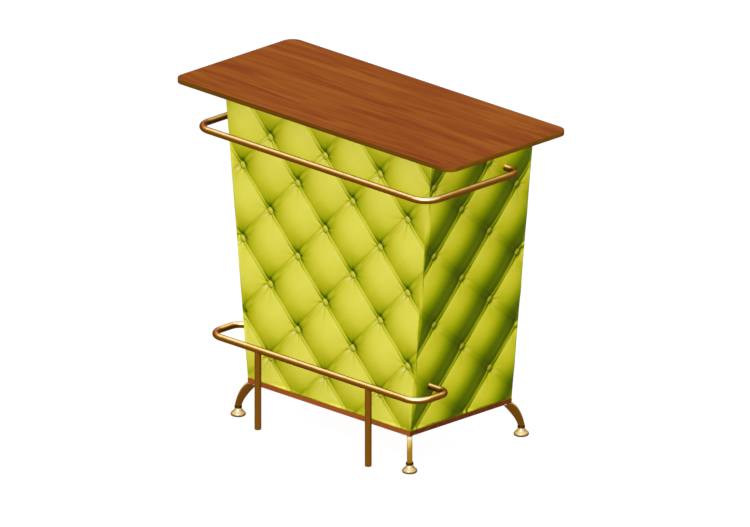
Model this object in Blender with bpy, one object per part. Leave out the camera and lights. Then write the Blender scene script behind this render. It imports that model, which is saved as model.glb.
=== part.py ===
"""A free-standing home bar cabinet, built piece by piece in metres with +Z up.

The customer stands on the -Y side. The front and both ends carry tufted pads, and the ends lean
outwards to the top. The barkeeper's side is open, with shelves over a cupboard with sliding doors.
The origin is on the floor, under the middle of the whole cabinet.
"""

import math
from collections import namedtuple

import bmesh
import bpy
from mathutils import Matrix, Vector

# Worktop
WORKTOP_LENGTH = 1.250
WORKTOP_DEPTH = 0.542
WORKTOP_THICK = 0.016
WORKTOP_CORNER = 0.040
WORKTOP_HEIGHT = 1.100
WORKTOP_FRONT_LAP = 0.081
WORKTOP_REAR_LAP = 0.001
WORKTOP_END_LAP = 0.155
EDGE_BAND = 0.0015

# Body
END_LEAN = 0.105
FLOOR_GAP = 0.110
BOARD = 0.016

# Padding
PAD_THICK = 0.024
FRONT_CROWN = 0.0035
END_CROWN = 0.0085
BUTTON_PITCH = 0.248
BUTTON_DEPTH = 0.0095
FOLD_DEPTH = 0.006
FRONT_WEAK_FOLD = 0.55
END_WEAK_FOLD = 0.62
ROLL_LEAN = 0.8
WEAK_POWER = 0.8
DIMPLE_REACH = 0.15
SEAM_FADE = 0.010
TUFT_STEPS = 6
SNAP_SHARE = 0.22
FRONT_BUTTON_X = -0.0232
FRONT_BUTTON_DROP = 0.1384
END_BUTTON_INSET = 0.1868
END_BUTTON_DROP = 0.1094
END_TUFT_TURN = math.radians(6.2)

# Rails
RAIL_DIAMETER = 0.022
RAIL_WALL = 0.0015
HAND_RAIL_DROP = 0.140
HAND_RAIL_PROUD = WORKTOP_FRONT_LAP + 0.001
HAND_RAIL_SIDE_GAP = 0.066
HAND_RAIL_FRONT_BEND = 0.060
HAND_RAIL_BACK_BEND = 0.042
HAND_RAIL_REAR_INSET = 0.120
FOOT_RAIL_Z = 0.268
FOOT_RAIL_PROUD = 0.071
FOOT_RAIL_SIDE_GAP = 0.090
FOOT_RAIL_FRONT_BEND = 0.055
FOOT_RAIL_BACK_BEND = 0.038
FOOT_RAIL_RETURN = 0.072
POST_INSET = 0.116
POST_GLIDE = 0.003
GLIDE_SPIGOT = 0.012
PLUG_LENGTH = 0.020
BOLT_DIAMETER = 0.008
BOLT_GRIP = 0.018
BOLT_HEAD_DIAMETER = 0.017
BOLT_HEAD_HEIGHT = 0.005
BOLT_HEAD_TOP_SHARE = 0.7
BOLT_RECESS = 0.0035

# Legs and feet
LEG_THICK = 0.0175
LEG_TOP_WIDTH = 0.0355
LEG_TOP_PROUD = 0.0045
LEG_FOOT_WIDTH = 0.0215
LEG_REACH = 0.031
LEG_PLATE = 0.046
LEG_PLATE_THICK = 0.003
LEG_PLATE_INSET = 0.038
BELL_DIAMETER = 0.050
BELL_HEIGHT = 0.026
BELL_NECK = 0.021
BELL_SOLE = 0.036
COLLAR_DIAMETER = 0.025
COLLAR_HEIGHT = 0.009
COLLAR_CHAMFER = 0.0015
STUD_DIAMETER = 0.008
STUD_IN_BELL = 0.014
STUD_HOLD = 0.006
STUD_BORE_SPARE = 0.003
LEVEL_TRAVEL = 0.010

# Handles of the leg's curves: shares of the run outwards and of the fall
LEG_OUTER_HANDLES = ((0.55, 0.22), (0.86, 0.62))
LEG_INNER_HANDLES = ((0.89, 0.64), (0.38, 0.29))

# Outline of a bell foot over its sole: shares of the way from neck to rim and of the height
BELL_OUTLINE = ((0.86, 0.12), (1.0, 0.28), (0.90, 0.42), (0.64, 0.62), (0.36, 0.80))

# Rear shelves and cupboard
CUPBOARD_HEIGHT = 0.434
SHELF_FLOOR_Z = 0.816
SHELF_SLACK = 0.001
SHELF_REAR_INSET = 0.030
TOP_RAIL_HEIGHT = 0.060
PIN_DIAMETER = 0.005
PIN_IN_BOARD = 0.009
PIN_STANDING = 0.008
PIN_HOLE_PITCH = 0.032
PIN_HOLES = 3
PIN_EDGE_INSET = 0.055
DOOR_THICK = 0.008
DOOR_LAP = 0.024
DOOR_SPACING = 0.012
DOOR_SIDE_GAP = 0.001
DOOR_IN_UPPER_TRACK = 0.006
TRACK_REAR_INSET = 0.002
TRACK_WALL = 0.0027
TRACK_BASE = 0.003
LOWER_TRACK_RIB = 0.005
UPPER_TRACK_RIB = 0.011
PULL_DIAMETER = 0.036
PULL_CUP_DIAMETER = 0.030
PULL_FLANGE = 0.001
PULL_CUP_DEPTH = 0.006
PULL_DISH_DIAMETER = 0.024
PULL_DISH_DEPTH = 0.0036
PULL_DISH_EASE = 0.001
PULL_DISH_SLOPE = 0.003
PULL_INSET = 0.045
PULL_HEIGHT = 0.230

# Clearances
FIT = 0.0003
TUBE_END_FIT = 0.0006

# Facets
ROUND_STEPS = 12
BEND_STEPS = 6
TUBE_RESOLUTION = 4
COLLAR_STEPS = 16
LEG_STEPS = 8
BELL_STEPS = 20
CORNER_STEPS = 8

# Heights and widths that follow from the sizes above
BODY_HEAD = WORKTOP_HEIGHT - WORKTOP_THICK
BODY_DEPTH = WORKTOP_DEPTH - WORKTOP_FRONT_LAP - WORKTOP_REAR_LAP
BODY_HEAD_WIDTH = WORKTOP_LENGTH - 2 * WORKTOP_END_LAP
BODY_FOOT_WIDTH = BODY_HEAD_WIDTH - 2 * END_LEAN
POST_SPACING = BODY_FOOT_WIDTH - 2 * POST_INSET
HAND_RAIL_Z = WORKTOP_HEIGHT - HAND_RAIL_DROP
CARCASS_FLOOR = FLOOR_GAP + BOARD
LEAN = END_LEAN / (BODY_HEAD - FLOOR_GAP)
LEAN_COS = 1 / math.hypot(1, LEAN)
FRONT_Y = -BODY_DEPTH / 2
REAR_Y = BODY_DEPTH / 2
FRONT_BOARD_Y = FRONT_Y + PAD_THICK
CARCASS_FRONT_Y = FRONT_BOARD_Y + BOARD
RAIL_RADIUS = RAIL_DIAMETER / 2
HAND_RAIL_STUB_Y = REAR_Y - HAND_RAIL_REAR_INSET
FOOT_RAIL_STUB_Y = FRONT_Y + FOOT_RAIL_RETURN
SHELF_Z = CARCASS_FLOOR + CUPBOARD_HEIGHT
FOOT_X = BODY_FOOT_WIDTH / 2 + LEG_REACH * math.sqrt(0.5)
FOOT_Y = BODY_DEPTH / 2 + LEG_REACH * math.sqrt(0.5)
LEG_END_Z = BELL_HEIGHT + COLLAR_HEIGHT + 2 * FIT
STUD_TOP = LEG_END_Z + LEVEL_TRAVEL + STUD_HOLD

BRASS = {"color": (0.55, 0.30, 0.07), "roughness": 0.25, "metallic": 1.0}
DARK_BRASS = {"color": (0.16, 0.08, 0.02), "roughness": 0.4, "metallic": 1.0}
STEEL = {"color": (0.45, 0.45, 0.44), "roughness": 0.35, "metallic": 1.0}
CHERRY = {"color": (0.32, 0.09, 0.02), "roughness": 0.4, "metallic": 0.0}
DARK_BAND = {"color": (0.15, 0.06, 0.01), "roughness": 0.5, "metallic": 0.0}
LEATHERETTE = {"color": (0.55, 0.52, 0.05), "roughness": 0.5, "metallic": 0.0}
BROWN_PLASTIC = {"color": (0.09, 0.04, 0.015), "roughness": 0.45, "metallic": 0.0}


# A pad's tufting: where one button sits, the lattice's turn, whether the deep folds fall (1) or
# rise (-1) from left to right, how much of the swell stays over a weak fold, and how far the
# rolls stand over the seam plane
Tufting = namedtuple("Tufting", "origin turn deep_way weak_fold crown")


def end_x(height, inset=0.0):
    """Distance from the middle to an end's surface, a given thickness inside the cover."""
    return BODY_FOOT_WIDTH / 2 + LEAN * (height - FLOOR_GAP) - inset / LEAN_COS


def clear_scene():
    for old in list(bpy.data.objects):
        bpy.data.objects.remove(old, do_unlink=True)


def finish_material(name, finish):
    """A material with one Principled shader, made once for each finish name."""
    material = bpy.data.materials.get(name) or bpy.data.materials.new(name)
    material.use_nodes = True
    shader = material.node_tree.nodes["Principled BSDF"]
    shader.inputs["Base Color"].default_value = (*finish["color"], 1.0)
    shader.inputs["Roughness"].default_value = finish["roughness"]
    shader.inputs["Metallic"].default_value = finish["metallic"]
    material.diffuse_color = (*finish["color"], 1.0)
    return material


def add_object(name, mesh, parent, finish, location=(0.0, 0.0, 0.0), turn=0.0):
    """Put a mesh into the scene as a named piece under its parent."""
    piece = bpy.data.objects.new(name, mesh)
    bpy.context.collection.objects.link(piece)
    piece.parent = parent
    piece.location = location
    piece.rotation_euler = (0.0, 0.0, turn)
    if finish is not None and not mesh.materials:
        mesh.materials.append(finish_material(name + "_finish", finish))
    return piece


def add_empty(name, parent=None, location=(0.0, 0.0, 0.0)):
    empty = bpy.data.objects.new(name, None)
    bpy.context.collection.objects.link(empty)
    empty.parent = parent
    empty.location = location
    return empty


def mesh_from(name, shape, smooth_angle=None):
    """Close a bmesh into a mesh with its faces pointing out."""
    bmesh.ops.recalc_face_normals(shape, faces=shape.faces)
    mesh = bpy.data.meshes.new(name)
    shape.to_mesh(mesh)
    shape.free()
    if smooth_angle is not None:
        mesh.shade_smooth()
        mesh.set_sharp_from_angle(angle=smooth_angle)
    return mesh


def prism(name, outline, along, low, high):
    """Extrude an outline of (a, b) points: an XZ outline along Y, or an XY outline along Z."""
    shape = bmesh.new()
    if along == "Y":
        corners = [shape.verts.new((a, low, b)) for a, b in outline]
        travel = Vector((0.0, high - low, 0.0))
    else:
        corners = [shape.verts.new((a, b, low)) for a, b in outline]
        travel = Vector((0.0, 0.0, high - low))
    face = shape.faces.new(corners)
    grown = bmesh.ops.extrude_face_region(shape, geom=[face], use_keep_orig=True)
    moved = [item for item in grown["geom"] if isinstance(item, bmesh.types.BMVert)]
    bmesh.ops.translate(shape, verts=moved, vec=travel)
    return mesh_from(name, shape)


def turned(name, profile, steps=ROUND_STEPS):
    """Turn an (r, z) profile, from axis to axis or as a closed ring, into a round solid."""
    shape = bmesh.new()
    points = [shape.verts.new((radius, 0.0, height)) for radius, height in profile]
    closed = min(radius for radius, height in profile) > 0
    edges = [shape.edges.new(pair) for pair in zip(points, points[1:])]
    if closed:
        edges.append(shape.edges.new((points[-1], points[0])))
    bmesh.ops.spin(shape, geom=points + edges, cent=(0, 0, 0), axis=(0, 0, 1), angle=math.tau,
                   steps=steps, use_merge=True)
    bmesh.ops.remove_doubles(shape, verts=shape.verts, dist=1e-6)
    return mesh_from(name, shape, math.radians(40))


def toward_x(mesh):
    """Turn a piece made along +Z so that it lies along +X."""
    mesh.transform(Matrix.Rotation(math.radians(90), 4, "Y"))
    return mesh


def mirrored(mesh, side):
    """Mirror a piece made for the +X end when it is for the -X end."""
    if side > 0:
        return mesh
    mesh.transform(Matrix.Diagonal((-1, 1, 1, 1)))
    mesh.flip_normals()
    return mesh


def add_cut(piece, cutter_mesh, cutter_name):
    """Cut a closed cutter, which the picture never shows, out of a piece."""
    cutter = add_object(cutter_name, cutter_mesh, piece.parent, None, piece.location)
    cutter.rotation_euler = piece.rotation_euler
    cutter.hide_render = True
    cutter.display_type = "WIRE"
    boolean = piece.modifiers.new(cutter_name, "BOOLEAN")
    boolean.operation = "DIFFERENCE"
    boolean.solver = "EXACT"
    boolean.object = cutter


def rods_mesh(name, rods, steps=ROUND_STEPS):
    """Separate round rods as one cutter, each as (start, end, diameter)."""
    shape = bmesh.new()
    for start, end, diameter in rods:
        start, end = Vector(start), Vector(end)
        way = end - start
        place = Matrix.Translation((start + end) / 2) @ way.to_track_quat("Z", "Y").to_matrix().to_4x4()
        bmesh.ops.create_cone(shape, cap_ends=True, segments=steps, radius1=diameter / 2,
                              radius2=diameter / 2, depth=way.length, matrix=place)
    return mesh_from(name, shape)


def rounded_rectangle(left, right, front, rear, corner, steps=CORNER_STEPS):
    """Corner points of a rectangle whose corners are arcs."""
    points = []
    centres = ((right - corner, rear - corner), (left + corner, rear - corner),
               (left + corner, front + corner), (right - corner, front + corner))
    for quarter, (x, y) in enumerate(centres):
        for step in range(steps + 1):
            angle = (quarter + step / steps) * math.pi / 2
            points.append((x + corner * math.cos(angle), y + corner * math.sin(angle)))
    return points


def leaning_outline(low, high, inset, side_gap=0.0):
    """XZ outline of a board that fills the width between the leaning ends."""
    foot = end_x(low, inset) - side_gap
    head = end_x(high, inset) - side_gap
    return [(-foot, low), (foot, low), (head, high), (-head, high)]


def build_worktop(cabinet):
    rear = REAR_Y + WORKTOP_REAR_LAP
    front = rear - WORKTOP_DEPTH
    half = WORKTOP_LENGTH / 2
    outer = rounded_rectangle(-half, half, front, rear, WORKTOP_CORNER)
    band = EDGE_BAND
    inner = rounded_rectangle(-half + band, half - band, front + band, rear - band, WORKTOP_CORNER - band)
    slack = band + FIT
    core = rounded_rectangle(-half + slack, half - slack, front + slack, rear - slack, WORKTOP_CORNER - slack)
    slab = prism("worktop", core, "Z", BODY_HEAD, WORKTOP_HEIGHT)
    add_object("worktop", slab, cabinet, CHERRY)

    shape = bmesh.new()
    loops = []
    for outline, height in ((outer, BODY_HEAD), (outer, WORKTOP_HEIGHT),
                            (inner, WORKTOP_HEIGHT), (inner, BODY_HEAD)):
        loops.append([shape.verts.new((x, y, height)) for x, y in outline])
    for loop, next_loop in zip(loops, loops[1:] + loops[:1]):
        for index in range(len(loop)):
            shape.faces.new((loop[index - 1], loop[index], next_loop[index], next_loop[index - 1]))
    add_object("worktop_edge_band", mesh_from("worktop_edge_band", shape), cabinet, DARK_BAND)


def build_bottom_board(cabinet):
    """The lowest board, whose edge shows as the trim, with a recess over each leg for its plate."""
    outline = leaning_outline(FLOOR_GAP, CARCASS_FLOOR, 0.0)
    board = add_object("bottom_board", prism("bottom_board", outline, "Y", FRONT_Y, REAR_Y), cabinet, CHERRY)
    half = LEG_PLATE / 2 + FIT
    depth = LEG_PLATE_THICK + FIT
    for place, x, y, turn in leg_places():
        recess = prism("recess", [(-half, -half), (half, -half), (half, half), (-half, half)], "Z",
                       -depth, depth)
        plate_x, plate_y = plate_centre(x, y)
        recess.transform(Matrix.Translation((plate_x, plate_y, FLOOR_GAP)) @ Matrix.Rotation(turn, 4, "Z"))
        add_cut(board, recess, "cut_recess_" + place)


def leg_places():
    """Name, foot centre and heading of each leg, which points away from the body's corner."""
    places = []
    for row, y_sign in (("front", -1), ("rear", 1)):
        for side, x_sign in (("left", -1), ("right", 1)):
            heading = math.atan2(y_sign, x_sign)
            places.append((row + "_" + side, x_sign * FOOT_X, y_sign * FOOT_Y, heading))
    return places


def plate_centre(x, y):
    """Middle of a leg's plate, on the line from the foot through the body's corner."""
    step = (LEG_REACH + LEG_PLATE_INSET) * math.sqrt(0.5)
    return x - math.copysign(step, x), y - math.copysign(step, y)


def build_boards(cabinet):
    """The front board between two leaning end boards, and the rails under the worktop."""
    low = CARCASS_FLOOR + FIT
    high = BODY_HEAD - FIT
    inner = PAD_THICK + BOARD
    panel = prism("front_board", leaning_outline(low, high, inner, FIT), "Y", FRONT_BOARD_Y, CARCASS_FRONT_Y)
    add_object("front_board", panel, cabinet, CHERRY)
    for side_name, side in (("left", -1), ("right", 1)):
        outline = [(side * end_x(z, inset), z) for z, inset in
                   ((low, inner), (low, PAD_THICK), (high, PAD_THICK), (high, inner))]
        name = side_name + "_end_board"
        board = add_object(name, prism(name, outline, "Y", FRONT_BOARD_Y, REAR_Y), cabinet, CHERRY)
        drill_end_board(board, side_name, side)
    rail_low = BODY_HEAD - FIT - TOP_RAIL_HEIGHT
    for name, front in (("front_top_rail", CARCASS_FRONT_Y + FIT), ("rear_top_rail", REAR_Y - BOARD)):
        outline = leaning_outline(rail_low, high, inner, FIT)
        add_object(name, prism(name, outline, "Y", front, front + BOARD), cabinet, CHERRY)


def rail_bolt_places():
    return (("hand_rail", HAND_RAIL_STUB_Y, HAND_RAIL_Z), ("foot_rail", FOOT_RAIL_STUB_Y, FOOT_RAIL_Z))


def bolt_seat_x(height):
    """Where a rail bolt's head bears, in its flat recess in the end board's inner face."""
    return end_x(height, PAD_THICK + BOARD) + BOLT_RECESS


def shelf_pin_rows():
    """Y of the two columns of shelf pins."""
    return CARCASS_FRONT_Y + PIN_EDGE_INSET, REAR_Y - SHELF_REAR_INSET - PIN_EDGE_INSET


def shelf_pin_z(step=0):
    """Axis of a shelf pin, so that the shelf rests on it, or of a spare hole above or below it."""
    return SHELF_FLOOR_Z - FIT - PIN_DIAMETER / 2 + step * PIN_HOLE_PITCH


def drill_end_board(board, side_name, side):
    """Bores for the rail bolts with their flat recesses, and blind holes for the shelf pins."""
    bores = []
    recesses = []
    for rail, y, z in rail_bolt_places():
        inner = end_x(z, PAD_THICK + BOARD)
        outer = end_x(z, PAD_THICK)
        bores.append(((side * (inner - BOARD), y, z), (side * (outer + BOARD), y, z),
                      BOLT_DIAMETER + 2 * FIT))
        recesses.append(((side * (inner - BOARD), y, z), (side * bolt_seat_x(z), y, z),
                         BOLT_HEAD_DIAMETER + 4 * FIT))
    for y in shelf_pin_rows():
        for step in range(-(PIN_HOLES // 2), PIN_HOLES - PIN_HOLES // 2):
            z = shelf_pin_z(step)
            inner = end_x(z, PAD_THICK + BOARD)
            bores.append(((side * (inner - BOARD / 2), y, z), (side * (inner + PIN_IN_BOARD + FIT), y, z),
                          PIN_DIAMETER + 2 * FIT))
    add_cut(board, rods_mesh("bores", bores), "cut_bores_" + side_name)
    add_cut(board, rods_mesh("recesses", recesses), "cut_recesses_" + side_name)


def build_shelves(cabinet):
    inner = PAD_THICK + BOARD
    outline = leaning_outline(SHELF_Z, SHELF_Z + BOARD, inner, FIT)
    shelf = prism("fixed_shelf", outline, "Y", CARCASS_FRONT_Y + FIT, REAR_Y)
    add_object("fixed_shelf", shelf, cabinet, CHERRY)
    outline = leaning_outline(SHELF_FLOOR_Z, SHELF_FLOOR_Z + BOARD, inner, SHELF_SLACK)
    shelf = prism("adjustable_shelf", outline, "Y", CARCASS_FRONT_Y + SHELF_SLACK, REAR_Y - SHELF_REAR_INSET)
    add_object("adjustable_shelf", shelf, cabinet, CHERRY)
    radius = PIN_DIAMETER / 2
    z = shelf_pin_z()
    for row, y in zip(("front", "rear"), shelf_pin_rows()):
        for side_name, side in (("left", -1), ("right", 1)):
            inner_face = end_x(z, inner)
            pin = toward_x(turned("shelf_pin", [(0, -PIN_STANDING), (radius, -PIN_STANDING),
                                                (radius, PIN_IN_BOARD), (0, PIN_IN_BOARD)]))
            name = "shelf_pin_" + row + "_" + side_name
            add_object(name, mirrored(pin, side), cabinet, STEEL, (side * inner_face, y, z))


def tuft_height(across, up, tufting, edge_distance):
    """How far the stuffed cover stands over its seam plane.

    Buttons sit on a square lattice that stands on its corner. The cover swells between the
    fold lines that join them, one family of folds being deeper. Each roll leans towards the
    deep fold behind it, and all of it fades to the seam plane at the edges.
    """
    step_across = across - tufting.origin[0]
    step_up = up - tufting.origin[1]
    local_x = step_across * math.cos(tufting.turn) + step_up * math.sin(tufting.turn)
    local_z = step_up * math.cos(tufting.turn) - step_across * math.sin(tufting.turn)
    deep = (local_x + local_z * tufting.deep_way) / BUTTON_PITCH
    slight = (local_x - local_z * tufting.deep_way) / BUTTON_PITCH
    past_fold = (deep * tufting.deep_way) % 1.0
    swell = math.sin(math.pi * past_fold ** ROLL_LEAN)
    over_weak = abs(math.sin(math.pi * slight)) ** WEAK_POWER
    swell *= tufting.weak_fold + (1 - tufting.weak_fold) * over_weak
    to_button = math.hypot(deep - round(deep), slight - round(slight))
    dimple = math.exp(-(to_button / DIMPLE_REACH) ** 2)
    height = -FOLD_DEPTH + (tufting.crown + FOLD_DEPTH) * swell - (BUTTON_DEPTH - FOLD_DEPTH) * dimple
    part = min(max(edge_distance / SEAM_FADE, 0.0), 1.0)
    return height * part * part * (3 - 2 * part)


def tufted_pad(name, outline, tufting, to_cover, to_back):
    """A tufted cushion over a flat back, from a counter-clockwise outline of (across, up) points.

    to_cover(across, up, height) and to_back(across, up) place its points in the cabinet.
    """
    shape = bmesh.new()
    rising, falling = tufting.turn + math.pi / 4, tufting.turn - math.pi / 4
    axis_across = Vector((math.cos(rising), math.sin(rising)))
    axis_up = Vector((math.cos(falling), math.sin(falling)))
    spacing = BUTTON_PITCH * math.sqrt(0.5) / TUFT_STEPS
    start = Vector(tufting.origin)
    reach = max((Vector(corner) - start).length for corner in outline)
    count = math.ceil(reach / spacing) + 1
    grid = {}
    for i in range(-count, count + 1):
        for j in range(-count, count + 1):
            point = start + axis_across * (i * spacing) + axis_up * (j * spacing)
            grid[i, j] = shape.verts.new((point.x, point.y, 0.0))
    for i in range(-count, count):
        for j in range(-count, count):
            shape.faces.new((grid[i, j], grid[i + 1, j], grid[i + 1, j + 1], grid[i, j + 1]))
    sides = []
    for first, second in zip(outline, outline[1:] + outline[:1]):
        along = Vector((second[0] - first[0], second[1] - first[1])).normalized()
        sides.append((Vector(first), Vector((along.y, -along.x))))
    snap = spacing * SNAP_SHARE
    for corner, outward in sides:
        for vert in shape.verts:
            past = (vert.co.xy - corner).dot(outward)
            if abs(past) < snap:
                vert.co.xy -= outward * past
    for corner, outward in sides:
        bmesh.ops.bisect_plane(shape, geom=shape.verts[:] + shape.edges[:] + shape.faces[:], dist=1e-6,
                               plane_co=(*corner, 0.0), plane_no=(*outward, 0.0), clear_outer=True)
    rim = [edge for edge in shape.edges if edge.is_boundary]
    wall = bmesh.ops.extrude_edge_only(shape, edges=rim)
    back_verts = {item for item in wall["geom"] if isinstance(item, bmesh.types.BMVert)}
    back_edges = [item for item in wall["geom"] if isinstance(item, bmesh.types.BMEdge)
                  and all(vert in back_verts for vert in item.verts)]
    for vert in shape.verts:
        across, up = vert.co.x, vert.co.y
        if vert in back_verts:
            vert.co = to_back(across, up)
        else:
            edge_distance = min((corner - Vector((across, up))).dot(outward) for corner, outward in sides)
            height = tuft_height(across, up, tufting, edge_distance)
            vert.co = to_cover(across, up, height)
    bmesh.ops.edgeloop_fill(shape, edges=back_edges)
    return mesh_from(name, shape, math.radians(60))


def build_pads(cabinet):
    """Three pads that meet in mitred corner seams, with holes in the end pads for the rails."""
    low = CARCASS_FLOOR + FIT
    high = BODY_HEAD - FIT
    back = PAD_THICK - FIT

    foot = end_x(low) - FIT
    head = end_x(high) - FIT
    front_outline = [(-foot, low), (foot, low), (head, high), (-head, high)]

    def front_back(across, up):
        edge = end_x(up) - FIT
        return Vector((across * (end_x(up, back) - FIT) / edge, FRONT_Y + back, up))

    front_button = (FRONT_BUTTON_X, WORKTOP_HEIGHT - FRONT_BUTTON_DROP)
    front_tufting = Tufting(front_button, 0.0, 1, FRONT_WEAK_FOLD, FRONT_CROWN)
    front = tufted_pad("front_pad", front_outline, front_tufting,
                       lambda across, up, height: Vector((across, FRONT_Y - height, up)), front_back)
    add_object("front_pad", front, cabinet, LEATHERETTE)

    slope_low = (low - FLOOR_GAP) / LEAN_COS
    slope_high = (high - FLOOR_GAP) / LEAN_COS
    end_button = (REAR_Y - END_BUTTON_INSET, (WORKTOP_HEIGHT - END_BUTTON_DROP - FLOOR_GAP) / LEAN_COS)
    end_tufting = Tufting(end_button, END_TUFT_TURN, -1, END_WEAK_FOLD, END_CROWN)
    front_edge = FRONT_Y + FIT
    end_outline = [(front_edge, slope_low), (REAR_Y, slope_low),
                   (REAR_Y, slope_high), (front_edge, slope_high)]

    def end_cover(across, up, height):
        z = FLOOR_GAP + up * LEAN_COS
        return Vector((end_x(z) + height * LEAN_COS, across, z - height * LEAN * LEAN_COS))

    def end_back(across, up):
        z = FLOOR_GAP + up * LEAN_COS
        y = REAR_Y - (REAR_Y - across) * (BODY_DEPTH - back - FIT) / (BODY_DEPTH - FIT)
        return Vector((end_x(z, back), y, z))

    for side_name, side in (("left", -1), ("right", 1)):
        name = side_name + "_pad"
        pad = tufted_pad(name, end_outline, end_tufting, end_cover, end_back)
        piece = add_object(name, mirrored(pad, side), cabinet, LEATHERETTE)
        holes = []
        for rail, y, z in rail_bolt_places():
            cover_x = end_x(z)
            holes.append(((side * (cover_x - 2 * PAD_THICK), y, z),
                          (side * (cover_x + 2 * PAD_THICK), y, z), RAIL_DIAMETER + 2 * FIT))
        add_cut(piece, rods_mesh("rail_holes", holes, 2 * ROUND_STEPS), "cut_rail_holes_" + side_name)


def rounded_path(corners, bends):
    """Points of a path whose inner corners are arcs, with a bend radius for each of them."""
    points = [Vector(corners[0])]
    for before, corner, after, bend in zip(corners, corners[1:], corners[2:], bends):
        before, corner, after = Vector(before), Vector(corner), Vector(after)
        arrive = (corner - before).normalized()
        leave = (after - corner).normalized()
        setback = bend * math.tan(arrive.angle(leave) / 2)
        centre = corner + (leave - arrive).normalized() * (bend / math.cos(arrive.angle(leave) / 2))
        start = corner - arrive * setback
        spin_axis = arrive.cross(leave).normalized()
        for step in range(BEND_STEPS + 1):
            angle = arrive.angle(leave) * step / BEND_STEPS
            points.append(centre + Matrix.Rotation(angle, 3, spin_axis) @ (start - centre))
    points.append(Vector(corners[-1]))
    return points


def bent_tube(name, points, cuts, cabinet):
    """A hollow tube along a path, its ends cut by planes given as (point, outward normal)."""
    curve = bpy.data.curves.new(name + "_line", "CURVE")
    curve.dimensions = "3D"
    curve.bevel_depth = RAIL_RADIUS
    curve.bevel_resolution = TUBE_RESOLUTION
    spline = curve.splines.new("POLY")
    spline.points.add(len(points) - 1)
    for spline_point, point in zip(spline.points, points):
        spline_point.co = (*point, 1.0)
    guide = bpy.data.objects.new(name + "_guide", curve)
    bpy.context.collection.objects.link(guide)
    skin = bpy.data.meshes.new_from_object(guide)
    bpy.data.objects.remove(guide)
    shape = bmesh.new()
    shape.from_mesh(skin)
    bmesh.ops.remove_doubles(shape, verts=shape.verts, dist=1e-6)
    for point, outward in cuts:
        stub = [face for face in shape.faces if abs(face.calc_center_median().y - point.y) < RAIL_RADIUS
                and face.calc_center_median().x * point.x > 0]
        edges = {edge for face in stub for edge in face.edges}
        verts = {vert for face in stub for vert in face.verts}
        bmesh.ops.bisect_plane(shape, geom=list(verts) + list(edges) + stub, dist=1e-6,
                               plane_co=point, plane_no=outward, clear_outer=True)
    skin.clear_geometry()
    shape.to_mesh(skin)
    shape.free()
    skin.materials.clear()
    skin.shade_smooth()
    skin.set_sharp_from_angle(angle=math.radians(50))
    tube = add_object(name, skin, cabinet, BRASS)
    wall = tube.modifiers.new("wall", "SOLIDIFY")
    wall.thickness = RAIL_WALL
    wall.offset = -1.0
    wall.use_even_offset = True
    wall.use_rim = True


def rail_plan(rail):
    """Height, front line, side line, bends and stub place of one rail."""
    if rail == "hand_rail":
        side = end_x(HAND_RAIL_Z) + HAND_RAIL_SIDE_GAP
        return (HAND_RAIL_Z, FRONT_Y - HAND_RAIL_PROUD, side, HAND_RAIL_FRONT_BEND, HAND_RAIL_BACK_BEND,
                HAND_RAIL_STUB_Y)
    side = end_x(FOOT_RAIL_Z) + FOOT_RAIL_SIDE_GAP
    return (FOOT_RAIL_Z, FRONT_Y - FOOT_RAIL_PROUD, side, FOOT_RAIL_FRONT_BEND, FOOT_RAIL_BACK_BEND,
            FOOT_RAIL_STUB_Y)


def build_rails(cabinet):
    """Both rails, with the plug in each end and the bolt that draws it to the end board."""
    for rail in ("hand_rail", "foot_rail"):
        z, front, side, front_bend, back_bend, stub_y = rail_plan(rail)
        inner = end_x(z, PAD_THICK + BOARD)
        corners = [(-inner, stub_y, z), (-side, stub_y, z), (-side, front, z),
                   (side, front, z), (side, stub_y, z), (inner, stub_y, z)]
        points = rounded_path(corners, (back_bend, front_bend, front_bend, back_bend))
        cuts = []
        for way in (-1, 1):
            face = Vector((way * (end_x(z, PAD_THICK) + TUBE_END_FIT), stub_y, z))
            cuts.append((face, (-way * LEAN_COS, 0.0, LEAN * LEAN_COS)))
        bent_tube(rail, points, cuts, cabinet)
        build_rail_ends(rail, stub_y, z, cabinet)


def build_rail_ends(rail, y, z, cabinet):
    plug_radius = RAIL_RADIUS - RAIL_WALL - FIT
    bore_radius = BOLT_DIAMETER / 2 + FIT
    plug_start = end_x(z, PAD_THICK) + TUBE_END_FIT + RAIL_RADIUS * LEAN
    seat = bolt_seat_x(z) - FIT
    shank = BOLT_DIAMETER / 2
    head = BOLT_HEAD_DIAMETER / 2
    shank_end = plug_start - seat + BOLT_GRIP
    for side_name, side in (("left", -1), ("right", 1)):
        plug = turned(rail + "_plug", [(bore_radius, 0), (plug_radius, 0), (plug_radius, PLUG_LENGTH),
                                       (bore_radius, PLUG_LENGTH)])
        name = rail + "_plug_" + side_name
        add_object(name, mirrored(toward_x(plug), side), cabinet, STEEL, (side * plug_start, y, z))
        bolt = turned(rail + "_bolt", [(0, -BOLT_HEAD_HEIGHT),
                                       (head * BOLT_HEAD_TOP_SHARE, -BOLT_HEAD_HEIGHT),
                                       (head, -BOLT_HEAD_HEIGHT / 2), (head, 0), (shank, 0),
                                       (shank, shank_end), (0, shank_end)])
        name = rail + "_bolt_" + side_name
        add_object(name, mirrored(toward_x(bolt), side), cabinet, STEEL, (side * seat, y, z))


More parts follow.
